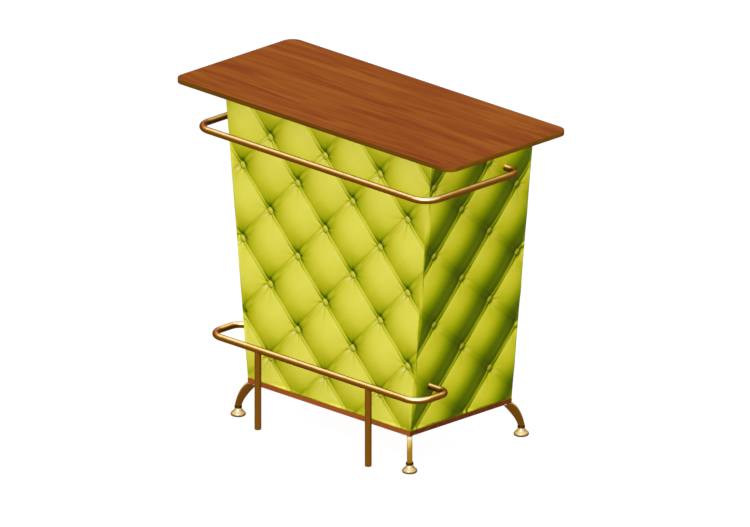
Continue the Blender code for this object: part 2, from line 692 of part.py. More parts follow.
def build_posts(cabinet):
    """Two tubes that carry the foot rail, coped to its underside, with a glide in each."""
    rail_y = FRONT_Y - FOOT_RAIL_PROUD
    inside = RAIL_RADIUS - RAIL_WALL
    spigot = inside - FIT
    for side_name, side in (("left", -1), ("right", 1)):
        x = side * POST_SPACING / 2
        foot = POST_GLIDE + FIT
        post = turned("post", [(inside, foot), (RAIL_RADIUS, foot), (RAIL_RADIUS, FOOT_RAIL_Z),
                               (inside, FOOT_RAIL_Z)], 2 * ROUND_STEPS)
        name = side_name + "_post"
        piece = add_object(name, post, cabinet, BRASS, (x, rail_y, 0.0))
        saddle = rods_mesh("saddle", [((-RAIL_DIAMETER, 0, FOOT_RAIL_Z), (RAIL_DIAMETER, 0, FOOT_RAIL_Z),
                                       RAIL_DIAMETER + 2 * FIT)], 2 * ROUND_STEPS)
        add_cut(piece, saddle, "cut_saddle_" + side_name)
        glide = turned("glide", [(0, 0), (RAIL_RADIUS, 0), (RAIL_RADIUS, POST_GLIDE), (spigot, POST_GLIDE),
                                 (spigot, POST_GLIDE + GLIDE_SPIGOT), (0, POST_GLIDE + GLIDE_SPIGOT)])
        add_object(name + "_glide", glide, cabinet, BROWN_PLASTIC, (x, rail_y, 0.0))


def bezier(start, first, second, end, steps):
    """Points of one cubic curve from start to end."""
    points = []
    for step in range(steps + 1):
        t = step / steps
        weights = ((1 - t) ** 3, 3 * t * (1 - t) ** 2, 3 * t * t * (1 - t), t ** 3)
        points.append(tuple(sum(w * p[k] for w, p in zip(weights, (start, first, second, end)))
                            for k in range(2)))
    return points


def leg_mesh():
    """A sabre leg in its own plane: +X away from the corner, the foot's centre at x = 0.

    Both edges leave the board at a slope and turn down to the collar.
    """
    top = FLOOR_GAP - FIT
    fall = top - LEG_END_Z
    outer_top = LEG_TOP_PROUD - LEG_REACH
    inner_top = outer_top - LEG_TOP_WIDTH
    outer_end = LEG_FOOT_WIDTH / 2
    inner_end = -LEG_FOOT_WIDTH / 2
    outer = [(outer_top, top)]
    for run_share, fall_share in LEG_OUTER_HANDLES:
        outer.append((outer_top + run_share * (outer_end - outer_top), top - fall_share * fall))
    outer.append((outer_end, LEG_END_Z))
    inner = [(inner_end, LEG_END_Z)]
    for run_share, fall_share in LEG_INNER_HANDLES:
        inner.append((inner_top + run_share * (inner_end - inner_top), top - fall_share * fall))
    inner.append((inner_top, top))
    edges = bezier(*outer, LEG_STEPS) + bezier(*inner, LEG_STEPS)
    return prism("leg", edges, "Y", -LEG_THICK / 2, LEG_THICK / 2)


def build_feet(cabinet):
    """Legs, plates and collars on the cabinet, and a bell foot with its stud that screws down."""
    leg = leg_mesh()
    leg.materials.append(finish_material("leg_finish", BRASS))
    stud_bore = STUD_DIAMETER / 2 + FIT
    collar_radius = COLLAR_DIAMETER / 2
    collar = turned("collar", [(stud_bore, 0), (collar_radius, COLLAR_CHAMFER),
                               (collar_radius, COLLAR_HEIGHT - COLLAR_CHAMFER),
                               (stud_bore, COLLAR_HEIGHT)], COLLAR_STEPS)
    collar.materials.append(finish_material("collar_finish", DARK_BRASS))
    socket_floor = BELL_HEIGHT - STUD_IN_BELL
    rim, neck = BELL_DIAMETER / 2, BELL_NECK / 2
    outline = [(0, 0), (BELL_SOLE / 2, 0)]
    outline += [(neck + (rim - neck) * across, BELL_HEIGHT * up) for across, up in BELL_OUTLINE]
    outline += [(neck, BELL_HEIGHT), (stud_bore, BELL_HEIGHT), (stud_bore, socket_floor - FIT),
                (0, socket_floor - FIT)]
    bell = turned("bell", outline, BELL_STEPS)
    bell.materials.append(finish_material("bell_finish", BRASS))
    radius = STUD_DIAMETER / 2
    stud = turned("stud", [(0, socket_floor), (radius, socket_floor), (radius, STUD_TOP), (0, STUD_TOP)])
    stud.materials.append(finish_material("stud_finish", STEEL))
    half = LEG_PLATE / 2
    plate = prism("leg_plate", [(-half, -half), (half, -half), (half, half), (-half, half)], "Z",
                  0.0, LEG_PLATE_THICK)
    plate.materials.append(finish_material("leg_plate_finish", STEEL))
    for place, x, y, turn in leg_places():
        leg_piece = add_object("leg_" + place, leg, cabinet, None, (x, y, 0.0), turn)
        bore = rods_mesh("stud_bore", [((0, 0, 0), (0, 0, STUD_TOP + STUD_BORE_SPARE), 2 * stud_bore)])
        add_cut(leg_piece, bore, "cut_stud_bore_" + place)
        plate_x, plate_y = plate_centre(x, y)
        add_object("leg_plate_" + place, plate, cabinet, None, (plate_x, plate_y, FLOOR_GAP), turn)
        add_object("leg_collar_" + place, collar, cabinet, None, (x, y, BELL_HEIGHT + FIT), turn)
        screw = add_empty("foot_screw_" + place, cabinet, (x, y, 0.0))
        add_object("bell_foot_" + place, bell, screw, None)
        add_object("levelling_stud_" + place, stud, screw, None)


def track_outline(rear, base, rib, opening_up):
    """YZ outline of a double track: a base with three ribs, one each side of two channels."""
    channel = DOOR_THICK + 2 * FIT
    first = rear - TRACK_WALL - channel
    second = first - (DOOR_SPACING - channel) - channel
    front = second - TRACK_WALL
    tip = base + rib
    points = [(front, 0), (rear, 0), (rear, tip), (rear - TRACK_WALL, tip), (rear - TRACK_WALL, base),
              (first, base), (first, tip), (second + channel, tip), (second + channel, base),
              (second, base), (second, tip), (front, tip)]
    return points if opening_up else [(y, -z) for y, z in reversed(points)]


def build_track(name, outline, floor_z, cabinet):
    """Run a track's YZ outline from end board to end board, its ends cut to their lean."""
    shape = bmesh.new()
    rings = []
    for side in (-1, 1):
        ring = []
        for y, z in outline:
            height = floor_z + z
            reach = end_x(height, PAD_THICK + BOARD) - FIT
            ring.append(shape.verts.new((side * reach, y, height)))
        rings.append(ring)
    left, right = rings
    for index, vert in enumerate(left):
        following = (index + 1) % len(left)
        shape.faces.new((vert, left[following], right[following], right[index]))
    shape.faces.new(left)
    shape.faces.new(right)
    add_object(name, mesh_from(name, shape), cabinet, BROWN_PLASTIC)


def build_cupboard(cabinet):
    """Two doors that pass each other in a lower and an upper double track."""
    track_rear = REAR_Y - TRACK_REAR_INSET
    lower = track_outline(track_rear, TRACK_BASE, LOWER_TRACK_RIB, True)
    upper = track_outline(track_rear, TRACK_BASE, UPPER_TRACK_RIB, False)
    build_track("lower_door_track", lower, CARCASS_FLOOR + FIT, cabinet)
    build_track("upper_door_track", upper, SHELF_Z - FIT, cabinet)
    low = CARCASS_FLOOR + FIT + TRACK_BASE + FIT
    high = SHELF_Z - FIT - TRACK_BASE - UPPER_TRACK_RIB + DOOR_IN_UPPER_TRACK
    rear_face = track_rear - TRACK_WALL - FIT
    inner = PAD_THICK + BOARD
    pull_z = CARCASS_FLOOR + PULL_HEIGHT
    cup = PULL_CUP_DIAMETER / 2
    flange = PULL_DIAMETER / 2
    dish = PULL_DISH_DIAMETER / 2
    pull = turned("door_pull", [(0, -PULL_CUP_DEPTH), (cup, -PULL_CUP_DEPTH), (cup, FIT), (flange, FIT),
                                (flange, FIT + PULL_FLANGE), (dish + PULL_DISH_EASE, FIT + PULL_FLANGE),
                                (dish, PULL_FLANGE),
                                (dish - PULL_DISH_SLOPE, PULL_FLANGE - PULL_DISH_DEPTH),
                                (0, PULL_FLANGE - PULL_DISH_DEPTH)], BELL_STEPS)
    pull.materials.append(finish_material("door_pull_finish", BRASS))
    for side_name, side, face_y in (("left", -1, rear_face - DOOR_SPACING), ("right", 1, rear_face)):
        slide = add_empty(side_name + "_door_slide", cabinet, (0.0, face_y, low))
        foot = end_x(low, inner) - DOOR_SIDE_GAP
        head = end_x(high, inner) - DOOR_SIDE_GAP
        meeting = -DOOR_LAP / 2
        height = high - low
        outline = [(side * meeting, 0), (side * foot, 0), (side * head, height), (side * meeting, height)]
        name = side_name + "_door"
        door = add_object(name, prism(name, outline, "Y", -DOOR_THICK, 0.0), slide, CHERRY)
        pull_x = side * (end_x(pull_z, inner) - DOOR_SIDE_GAP - PULL_INSET)
        hole = rods_mesh("pull_hole", [((pull_x, -2 * DOOR_THICK, pull_z - low),
                                        (pull_x, DOOR_THICK, pull_z - low),
                                        PULL_CUP_DIAMETER + 2 * FIT)], BELL_STEPS)
        add_cut(door, hole, "cut_pull_hole_" + side_name)
        knob = add_object(name + "_pull", pull, slide, None, (pull_x, 0.0, pull_z - low))
        knob.rotation_euler = (math.radians(-90), 0.0, 0.0)


def body_middle():
    """Y of the body's middle, so that the origin lies under the middle of the whole cabinet."""
    front = max(HAND_RAIL_PROUD + RAIL_RADIUS - FRONT_Y, FOOT_RAIL_PROUD + RAIL_RADIUS - FRONT_Y,
                WORKTOP_DEPTH - REAR_Y - WORKTOP_REAR_LAP, FOOT_Y + BELL_DIAMETER / 2)
    rear = max(FOOT_Y + BELL_DIAMETER / 2, REAR_Y + WORKTOP_REAR_LAP)
    return (front - rear) / 2


def main():
    clear_scene()
    cabinet = add_empty("cabinet", location=(0.0, body_middle(), 0.0))
    build_worktop(cabinet)
    build_bottom_board(cabinet)
    build_boards(cabinet)
    build_shelves(cabinet)
    build_pads(cabinet)
    build_rails(cabinet)
    build_posts(cabinet)
    build_feet(cabinet)
    build_cupboard(cabinet)


main()
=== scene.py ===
"""The looks of a tufted home bar cabinet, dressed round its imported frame.

Every new piece is worked out in millimetres in the frame's own axes: +X along the worktop to the
customer's right, +Y towards the barkeeper, +Z up. The mesh maker turns millimetres into metres.
"""

import logging
import math
from dataclasses import dataclass, field
from enum import Enum

import bmesh
import bpy
import numpy as np
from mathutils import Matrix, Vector


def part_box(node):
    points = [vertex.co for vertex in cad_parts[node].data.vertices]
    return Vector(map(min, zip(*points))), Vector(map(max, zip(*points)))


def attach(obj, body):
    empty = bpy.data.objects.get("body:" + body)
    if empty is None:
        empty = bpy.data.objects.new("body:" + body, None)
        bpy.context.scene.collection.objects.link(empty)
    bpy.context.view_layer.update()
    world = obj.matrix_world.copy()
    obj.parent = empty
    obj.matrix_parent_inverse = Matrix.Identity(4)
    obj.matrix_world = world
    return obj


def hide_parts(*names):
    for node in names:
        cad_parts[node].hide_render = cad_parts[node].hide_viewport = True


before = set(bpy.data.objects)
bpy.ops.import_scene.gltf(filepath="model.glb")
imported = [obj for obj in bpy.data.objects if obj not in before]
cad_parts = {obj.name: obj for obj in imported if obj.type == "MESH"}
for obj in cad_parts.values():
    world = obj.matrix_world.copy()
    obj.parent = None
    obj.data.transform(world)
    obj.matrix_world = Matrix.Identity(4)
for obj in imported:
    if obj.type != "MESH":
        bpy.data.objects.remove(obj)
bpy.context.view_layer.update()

METRES = 0.001  # metres in a millimetre
MM_PER_METRE = 1000
IMAGE_WIDTH_PX = 750
LOG = logging.getLogger("bar_cabinet")

# The key lamp's direction and the levels of both lights, from which the cushions' painted shade is worked out
# too.
KEY_FROM = (0.36, -0.60, 0.715)
KEY_LEVEL = 1.22
FILL_LEVEL = 0.08
# The light at which the painted shade leaves the leatherette its full lime, and how far the paler
# painted-highlight tints reach below it.
FULL_LIGHT = 0.92
PALE_TINT = 0.12
# The direction towards which the brass's painted highlight faces; the far side gets painted shade.
PAINTED_LIGHT_FROM = (0.44, -0.476, 0.762)

Array = np.ndarray
Colour = tuple[float, float, float, float]


def to_linear(hex_colour: str) -> Colour:
    """Turn an sRGB hex colour into linear red, green, blue and alpha.

    Args:
        hex_colour: six hex digits after a hash sign.

    Returns:
        Four floats, the last one 1.
    """
    parts = np.array([int(hex_colour[i:i + 2], 16) for i in (1, 3, 5)]) / 255.0
    linear = np.where(parts <= 0.04045, parts / 12.92, ((parts + 0.055) / 1.055) ** 2.4)
    return (*linear.tolist(), 1.0)


def cad_box(node: str) -> tuple[Array, Array]:
    """Lowest and highest corner of a frame node, in millimetres."""
    low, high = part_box(node)
    return np.array(low) / METRES, np.array(high) / METRES


def grid_quads(rows: int, columns: int, wrap: bool = False) -> Array:
    """Corner indices of the quads of a grid whose points run row by row.

    Args:
        rows: number of point rows.
        columns: number of points in a row.
        wrap: whether the last column joins the first.

    Returns:
        An (n, 4) array of point indices.
    """
    across = np.arange(columns if wrap else columns - 1)
    down = np.arange(rows - 1)
    i, j = np.meshgrid(down, across, indexing="ij")
    after = (j + 1) % columns
    return np.stack([i * columns + j, i * columns + after, (i + 1) * columns + after,
                     (i + 1) * columns + j], axis=-1).reshape(-1, 4)


def mesh_from_arrays(name: str, points: Array, quads: Array) -> bpy.types.Mesh:
    """Fill a mesh from arrays in one go.

    Args:
        name: the mesh's name.
        points: (n, 3) places in millimetres.
        quads: (m, 4) point indices.

    Returns:
        The new mesh, smooth shaded, in metres.
    """
    mesh = bpy.data.meshes.new(name)
    mesh.vertices.add(len(points))
    mesh.vertices.foreach_set("co", (points * METRES).astype(np.float32).ravel())
    mesh.loops.add(quads.size)
    mesh.loops.foreach_set("vertex_index", quads.astype(np.int32).ravel())
    mesh.polygons.add(len(quads))
    mesh.polygons.foreach_set("loop_start", np.arange(len(quads), dtype=np.int32) * 4)
    mesh.update(calc_edges=True)
    mesh.polygons.foreach_set("use_smooth", np.ones(len(quads), dtype=bool))
    return mesh


def tidy_mesh(mesh: bpy.types.Mesh, sharp_degrees: float = 35.0) -> None:
    """Merge doubled points, point the faces outwards and mark the sharp edges.

    Args:
        mesh: the mesh, changed in place.
        sharp_degrees: the angle between two faces from which their edge stays sharp.
    """
    shape = bmesh.new()
    shape.from_mesh(mesh)
    bmesh.ops.remove_doubles(shape, verts=shape.verts, dist=1e-6)
    bmesh.ops.recalc_face_normals(shape, faces=shape.faces)
    shape.to_mesh(mesh)
    shape.free()
    mesh.shade_smooth()
    mesh.set_sharp_from_angle(angle=math.radians(sharp_degrees))


def close_holes(mesh: bpy.types.Mesh) -> None:
    """Fill every open rim of a mesh with one flat face.

    Args:
        mesh: the mesh, changed in place.
    """
    shape = bmesh.new()
    shape.from_mesh(mesh)
    rims = [edge for edge in shape.edges if edge.is_boundary]
    bmesh.ops.holes_fill(shape, edges=rims, sides=0)
    shape.to_mesh(mesh)
    shape.free()


def add_piece(mesh: bpy.types.Mesh, material: bpy.types.Material, body: str,
              replaces: tuple[str, ...] = ()) -> bpy.types.Object:
    """Put a finished mesh into the scene and let it ride on its body.

    Args:
        mesh: the mesh, whose name the piece takes.
        material: its finish.
        body: the frame body it moves with.
        replaces: frame nodes that it stands for.

    Returns:
        The new object.
    """
    # Brass gets a note for its painted highlight and painted shade.
    if "brass" in material.name and "painted_light" not in mesh.attributes:
        mark_painted_light(mesh)
    piece = bpy.data.objects.new(mesh.name, mesh)
    bpy.context.scene.collection.objects.link(piece)
    mesh.materials.clear()
    mesh.materials.append(material)
    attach(piece, body)
    if replaces:
        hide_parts(*replaces)
    LOG.info("made %s, %d faces, riding on %s", mesh.name, len(mesh.polygons), body)
    return piece


def dress_node(node: str, material: bpy.types.Material) -> None:
    """Give a frame node, whose shape is right as it is, its finish.

    Args:
        node: the node's name in the frame.
        material: its finish.
    """
    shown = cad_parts[node]
    shown.data.materials.clear()
    shown.data.materials.append(material)
    LOG.info("dressed %s", node)


def spline_through(points: Array, samples: int) -> Array:
    """A smooth curve through points: a Catmull-Rom spline, each stretch a cubic of its four neighbours.

    Args:
        points: (n, 2) or (n, 3) places.
        samples: points on each stretch.

    Returns:
        The curve's points, the last one included.
    """
    padded = np.vstack([2 * points[0] - points[1], points, 2 * points[-1] - points[-2]])
    t = np.linspace(0.0, 1.0, samples, endpoint=False)[None, :, None]
    p0, p1, p2, p3 = (padded[k:len(padded) - 3 + k, None, :] for k in range(4))
    curve = 0.5 * (2 * p1 + (p2 - p0) * t + (2 * p0 - 5 * p1 + 4 * p2 - p3) * t ** 2
                   + (3 * p1 - p0 - 3 * p2 + p3) * t ** 3)
    return np.vstack([curve.reshape(-1, points.shape[1]), points[-1:]])


def turn_profile(name: str, profile: Array, centre: Array, axis: Array, steps: int) -> bpy.types.Mesh:
    """Turn a profile of (radius, height) round an axis: a point goes to centre + r(cos a, sin a) + h axis.

    Args:
        name: the mesh's name.
        profile: (n, 2) radii and heights in millimetres.
        centre: where height 0 lies on the axis.
        axis: the axis as a unit vector.
        steps: how many facets go round.

    Returns:
        The turned mesh.
    """
    along = np.asarray(axis, float)
    helper = np.array([1.0, 0.0, 0.0]) if abs(along[2]) > 0.5 else np.array([0.0, 0.0, 1.0])
    first = np.cross(along, helper)
    first /= np.linalg.norm(first)
    second = np.cross(along, first)
    angle = np.linspace(0, math.tau, steps, endpoint=False)
    ring = np.cos(angle)[:, None] * first + np.sin(angle)[:, None] * second
    points = (np.asarray(centre) + profile[:, None, :1] * ring[None]
              + profile[:, None, 1:] * along).reshape(-1, 3)
    mesh = mesh_from_arrays(name, points, grid_quads(len(profile), steps, wrap=True))
    tidy_mesh(mesh)
    return mesh


def carry_section(name: str, path: Array, up: Array, section: Array) -> bpy.types.Mesh:
    """Carry a closed section along a flat path: each ring is place + s0 side + s1 up.

    Args:
        name: the mesh's name.
        path: (n, 3) places along the path.
        up: the unit vector square to the path's plane.
        section: (n, k, 2) offsets for each ring, or (k, 2) for all of them.

    Returns:
        The carried mesh with flat ends.
    """
    ahead = np.gradient(path, axis=0)
    ahead /= np.linalg.norm(ahead, axis=1, keepdims=True)
    side = np.cross(ahead, up)
    rings = np.broadcast_to(section, (len(path), *section.shape[-2:]))
    points = path[:, None, :] + rings[..., :1] * side[:, None, :] + rings[..., 1:] * np.asarray(up)
    mesh = mesh_from_arrays(name, points.reshape(-1, 3), grid_quads(len(path), rings.shape[1], wrap=True))
    close_holes(mesh)
    tidy_mesh(mesh)
    return mesh


def add_node(tree: bpy.types.NodeTree, kind: str, values: dict | None = None, links: dict | None = None,
             **settings: object) -> bpy.types.Node:
    """Add one shader node with its settings, its socket values and its links.

    Args:
        tree: the material's or the world's node tree.
        kind: the node's type.
        values: socket name or number to value.
        links: socket name or number to the output that feeds it.
        settings: the node's own properties.

    Returns:
        The node.
    """
    node = tree.nodes.new(kind)
    for name, value in settings.items():
        setattr(node, name, value)
    set_values(node, values or {})
    for socket, output in (links or {}).items():
        tree.links.new(output, node.inputs[socket])
    return node


def new_material(name: str) -> tuple[bpy.types.Material, bpy.types.NodeTree, bpy.types.Node]:
    """Make an empty material and its Principled shader.

    Args:
        name: the finish's name.

    Returns:
        The material, its tree and the shader.
    """
    material = bpy.data.materials.new(name)
    material.use_nodes = True
    tree = material.node_tree
    tree.nodes.clear()
    shader = add_node(tree, "ShaderNodeBsdfPrincipled")
    add_node(tree, "ShaderNodeOutputMaterial", links={"Surface": shader.outputs["BSDF"]})
    return material, tree, shader


def set_values(node: bpy.types.Node, values: dict) -> None:
    """Set a node's sockets, each by its name or number."""
    for socket, value in values.items():
        node.inputs[socket].default_value = value


def set_ramp(node: bpy.types.Node, stops: list[tuple[float, str]]) -> None:
    """Set a colour ramp's stops.

    Args:
        node: the colour ramp.
        stops: positions and sRGB hex colours.
    """
    ramp = node.color_ramp
    while len(ramp.elements) < len(stops):
        ramp.elements.new(1.0)
    for element, (position, colour) in zip(ramp.elements, stops):
        element.position = position
        element.color = to_linear(colour)


class GrainWay(Enum):
    """Which way a board's grain runs."""

    ALONG = "along the worktop"
    UPWARDS = "up the board"


@dataclass(frozen=True)
class CherryVeneer:
    """Cherry veneer under satin lacquer: warm red brown, broad soft figure and fine straight pores.

    Widths and lengths are those of the figure, the streaks and the pores, in millimetres. Real pores
    are a tenth of a millimetre wide, too fine to show, so they are drawn coarser. The browns lie at
    the stops, dark first, along a blend of all three.
    """

    name: str
    light: str
    middle: str
    dark: str
    way: GrainWay = GrainWay.ALONG
    figure_width: float = 55.0
    figure_length: float = 620.0
    streak_width: float = 11.0
    streak_length: float = 420.0
    pore_width: float = 1.8
    pore_length: float = 60.0
    slant: float = 2.5
    painted_end_light: float = 1.0
    roughness: float = 0.6
    swirl: float = 0.9
    figure_share: float = 0.55
    pore_share: float = 0.18
    pore_depth: float = 0.2
    stops: tuple[float, float, float] = (0.36, 0.5, 0.62)
    gloss: float = 0.01

    def grain(self, tree: bpy.types.NodeTree, place: bpy.types.NodeSocket, width: float, length: float,
              values: dict) -> bpy.types.NodeSocket:
        """Noise drawn out along the grain.

        Args:
            tree: the material's tree.
            place: object coordinates.
            width: a streak's width in millimetres.
            length: its length in millimetres.
            values: the noise's own socket values.

        Returns:
            The noise's output.
        """
        along, across = MM_PER_METRE / length, MM_PER_METRE / width
        scale = (along, across, across) if self.way is GrainWay.ALONG else (across, across, along)
        turn = (0.0, 0.0, math.radians(self.slant))
        drawn = add_node(tree, "ShaderNodeMapping", {"Scale": scale, "Rotation": turn}, {"Vector": place})
        noise = add_node(tree, "ShaderNodeTexNoise", {"Scale": 1.0, **values},
                         {"Vector": drawn.outputs["Vector"]})
        return noise.outputs["Fac"]

    def end_toned(self, tree: bpy.types.NodeTree, colour: bpy.types.NodeSocket) -> bpy.types.NodeSocket:
        """The colour, multiplied by the end factor where the surface looks along X: painted light above 1,
        painted shade below it.

        Args:
            tree: the material's tree.
            colour: the colour of the long faces.

        Returns:
            The toned colour's output.
        """
        facing = add_node(tree, "ShaderNodeSeparateXYZ",
                          links={0: add_node(tree, "ShaderNodeTexCoord").outputs["Normal"]})
        end = add_node(tree, "ShaderNodeMath", links={0: facing.outputs["X"]}, operation="ABSOLUTE")
        toned = add_node(tree, "ShaderNodeMix", data_type="RGBA", blend_type="MULTIPLY",
                         values={"B": (*[self.painted_end_light] * 3, 1.0)},
                         links={"Factor": end.outputs[0], "A": colour})
        return toned.outputs["Result"]

    def make(self) -> bpy.types.Material:
        """Build the material: figure, streaks and pores blended into one ramp of three browns.

        Returns:
            The material.
        """
        material, tree, shader = new_material(self.name)
        place = add_node(tree, "ShaderNodeTexCoord").outputs["Object"]
        figure = self.grain(tree, place, self.figure_width, self.figure_length,
                            {"Detail": 2.0, "Distortion": self.swirl})
        streaks = self.grain(tree, place, self.streak_width, self.streak_length,
                             {"Detail": 4.0, "Roughness": 0.6, "Distortion": 0.4})
        pores = self.grain(tree, place, self.pore_width, self.pore_length, {"Detail": 2.0})
        coarse = add_node(tree, "ShaderNodeMix", {"Factor": 1 - self.figure_share},
                          {"A": figure, "B": streaks})
        both = add_node(tree, "ShaderNodeMix", {"Factor": self.pore_share},
                        {"A": coarse.outputs["Result"], "B": pores})
        ramp = add_node(tree, "ShaderNodeValToRGB", links={"Fac": both.outputs["Result"]})
        set_ramp(ramp, list(zip(self.stops, (self.dark, self.middle, self.light))))
        tree.links.new(self.end_toned(tree, ramp.outputs["Color"]), shader.inputs["Base Color"])
        bump = add_node(tree, "ShaderNodeBump", {"Strength": 0.2, "Distance": self.pore_depth * METRES},
                        {"Height": pores})
        tree.links.new(bump.outputs["Normal"], shader.inputs["Normal"])
        set_values(shader, {"Roughness": self.roughness, "Specular IOR Level": self.gloss})
        return material


@dataclass(frozen=True)
class Leatherette:
    """PVC leatherette over foam: bright lime, satin, with a fine pebble grain; painted shade makes it
    greener and darker in the folds.

    The tints are painted light and shade: they run from the side that faces the key light to the side
    that turns away from it, and the painted shade colour takes over in the folds. Sizes are in
    millimetres. The real grain is under a millimetre wide, too fine to show, so it is drawn coarser.
    """

    name: str
    tints: tuple[tuple[float, str], ...]
    fold_shade_colour: str
    grain: float = 2.2
    grain_depth: float = 0.3
    cloud: float = 71.43
    cloud_share: float = 0.06
    roughness: float = 0.5
    gloss: float = 0.02

    def make(self) -> bpy.types.Material:
        """Build the material: the pad's painted light and shade notes choose the tint and darken the folds.

        Returns:
            The material.
        """
        material, tree, shader = new_material(self.name)
        place = add_node(tree, "ShaderNodeTexCoord").outputs["Object"]
        cloud = add_node(tree, "ShaderNodeTexNoise", {"Scale": MM_PER_METRE / self.cloud, "Detail": 3.0},
                         {"Vector": place})
        # Painted shade: the tint turns greener where the cover turns from the key light.
        away = add_node(tree, "ShaderNodeAttribute", attribute_name="painted_facing_shade")
        shaken = add_node(tree, "ShaderNodeMath", {1: self.cloud_share},
                          {0: cloud.outputs["Fac"], 2: away.outputs["Fac"]}, operation="MULTIPLY_ADD")
        face = add_node(tree, "ShaderNodeValToRGB", links={"Fac": shaken.outputs[0]})
        set_ramp(face, [(position + self.cloud_share / 2, colour) for position, colour in self.tints])
        # Painted shade: the dark olive takes over where the folds keep the light out.
        depth = add_node(tree, "ShaderNodeAttribute", attribute_name="painted_fold_shade")
        mixed = add_node(tree, "ShaderNodeMix", data_type="RGBA", values={"B": to_linear(self.fold_shade_colour)},
                         links={"Factor": depth.outputs["Fac"], "A": face.outputs["Color"]})
        tree.links.new(mixed.outputs["Result"], shader.inputs["Base Color"])
        pebbles = add_node(tree, "ShaderNodeTexVoronoi", {"Scale": MM_PER_METRE / self.grain},
                           {"Vector": place}, feature="SMOOTH_F1")
        bump = add_node(tree, "ShaderNodeBump", {"Strength": 0.12, "Distance": self.grain_depth * METRES},
                        {"Height": pebbles.outputs["Distance"]})
        tree.links.new(bump.outputs["Normal"], shader.inputs["Normal"])
        set_values(shader, {"Roughness": self.roughness, "Specular IOR Level": self.gloss})
        return material


def note_on_points(mesh: bpy.types.Mesh, name: str, values: Array) -> None:
    """Write one number on each point of a mesh, under a name that a material reads."""
    attribute = mesh.attributes.new(name, "FLOAT", "POINT")
    attribute.data.foreach_set("value", values.astype(np.float32))


def mark_painted_light(mesh: bpy.types.Mesh, way: tuple[float, float, float] = PAINTED_LIGHT_FROM) -> None:
    """Note how far each point's normal looks towards the side where brass gets its painted highlight.

    Args:
        mesh: the piece's mesh.
        way: the direction of the painted highlight, where the note is 1; it is 0 on the far side, in painted
            shade.
    """
    normals = np.empty(len(mesh.loops) * 3, dtype=np.float32)
    mesh.corner_normals.foreach_get("vector", normals)
    facing = normals.reshape(-1, 3) @ np.array(way, dtype=np.float32)
    noted = mesh.attributes.new("painted_light", "FLOAT", "CORNER")
    noted.data.foreach_set("value", 0.5 + 0.5 * facing)


@dataclass(frozen=True)
class LacqueredBrass:
    """Lacquered brass whose tones paint light and shade: dark and mirror-like on the side turned from
    the light, a pale painted highlight on the side towards it.

    The tones lie along the piece's painted light note, from 0 on the far side to 1 on the side that
    faces the highlight's direction. The mirror is the metallic share on the dark side and on the
    highlight line, where fine scratches scatter the light; it changes between the two ends of the
    highlight's span. Sizes are in millimetres. Real scratches are finer than a hair and wouldn't show,
    so they are drawn coarser.
    """

    name: str
    tones: tuple[tuple[float, str], ...]
    roughness: float = 0.3
    mirror: tuple[float, float] = (0.72, 0.25)
    highlight_span: tuple[float, float] = (0.84, 0.93)
    edge_tint: str = "#B98A4A"
    gloss: float = 0.05
    cloud: float = 33.33
    cloud_share: float = 0.02
    scratch: float = 1.111
    scratch_depth: float = 0.1

    def make(self) -> bpy.types.Material:
        """Build the material: painted light and shade by the piece's note, broken up by a fine cloud.

        Returns:
            The material.
        """
        material, tree, shader = new_material(self.name)
        place = add_node(tree, "ShaderNodeTexCoord").outputs["Object"]
        cloud = add_node(tree, "ShaderNodeTexNoise", {"Scale": MM_PER_METRE / self.cloud, "Detail": 4.0},
                         {"Vector": place})
        # Painted highlight and shade by how far the surface faces a set direction.
        painted_light = add_node(tree, "ShaderNodeAttribute", attribute_name="painted_light")
        shaken = add_node(tree, "ShaderNodeMath", {1: self.cloud_share},
                          {0: cloud.outputs["Fac"], 2: painted_light.outputs["Fac"]}, operation="MULTIPLY_ADD")
        tint = add_node(tree, "ShaderNodeValToRGB", links={"Fac": shaken.outputs[0]})
        set_ramp(tint, [(position + self.cloud_share / 2, colour) for position, colour in self.tones])
        tree.links.new(tint.outputs["Color"], shader.inputs["Base Color"])
        lines = add_node(tree, "ShaderNodeTexNoise", {"Scale": MM_PER_METRE / self.scratch, "Detail": 1.0},
                         {"Vector": place})
        bump = add_node(tree, "ShaderNodeBump",
                        {"Strength": 0.04, "Distance": self.scratch_depth * METRES},
                        {"Height": lines.outputs["Fac"]})
        tree.links.new(bump.outputs["Normal"], shader.inputs["Normal"])
        mirror = add_node(tree, "ShaderNodeMapRange",
                          {"From Min": self.highlight_span[0], "From Max": self.highlight_span[1],
                           "To Min": self.mirror[0], "To Max": self.mirror[1]},
                          {"Value": painted_light.outputs["Fac"]})
        tree.links.new(mirror.outputs["Result"], shader.inputs["Metallic"])
        set_values(shader, {"Roughness": self.roughness, "Specular IOR Level": self.gloss,
                            "Specular Tint": to_linear(self.edge_tint)})
        return material


@dataclass(frozen=True)
class PlainFinish:
    """Zinc-plated steel, brushed brass or moulded plastic: one colour with a slight mottle.

    The mottle's size and depth are in millimetres. It is drawn coarser than the real one, which is
    too fine to show.
    """

    name: str
    light: str
    dark: str
    roughness: float
    metallic: float = 0.0
    mottle: float = 6.25
    mottle_depth: float = 0.1

    def make(self) -> bpy.types.Material:
        """Build the material: a fine mottle between two near colours, and a trace of bump.

        Returns:
            The material.
        """
        material, tree, shader = new_material(self.name)
        place = add_node(tree, "ShaderNodeTexCoord").outputs["Object"]
        noise = add_node(tree, "ShaderNodeTexNoise", {"Scale": MM_PER_METRE / self.mottle, "Detail": 3.0},
                         {"Vector": place})
        tint = add_node(tree, "ShaderNodeValToRGB", links={"Fac": noise.outputs["Fac"]})
        set_ramp(tint, [(0.3, self.dark), (0.7, self.light)])
        tree.links.new(tint.outputs["Color"], shader.inputs["Base Color"])
        bump = add_node(tree, "ShaderNodeBump",
                        {"Strength": 0.08, "Distance": self.mottle_depth * METRES},
                        {"Height": noise.outputs["Fac"]})
        tree.links.new(bump.outputs["Normal"], shader.inputs["Normal"])
        set_values(shader, {"Roughness": self.roughness, "Metallic": self.metallic})
        return material


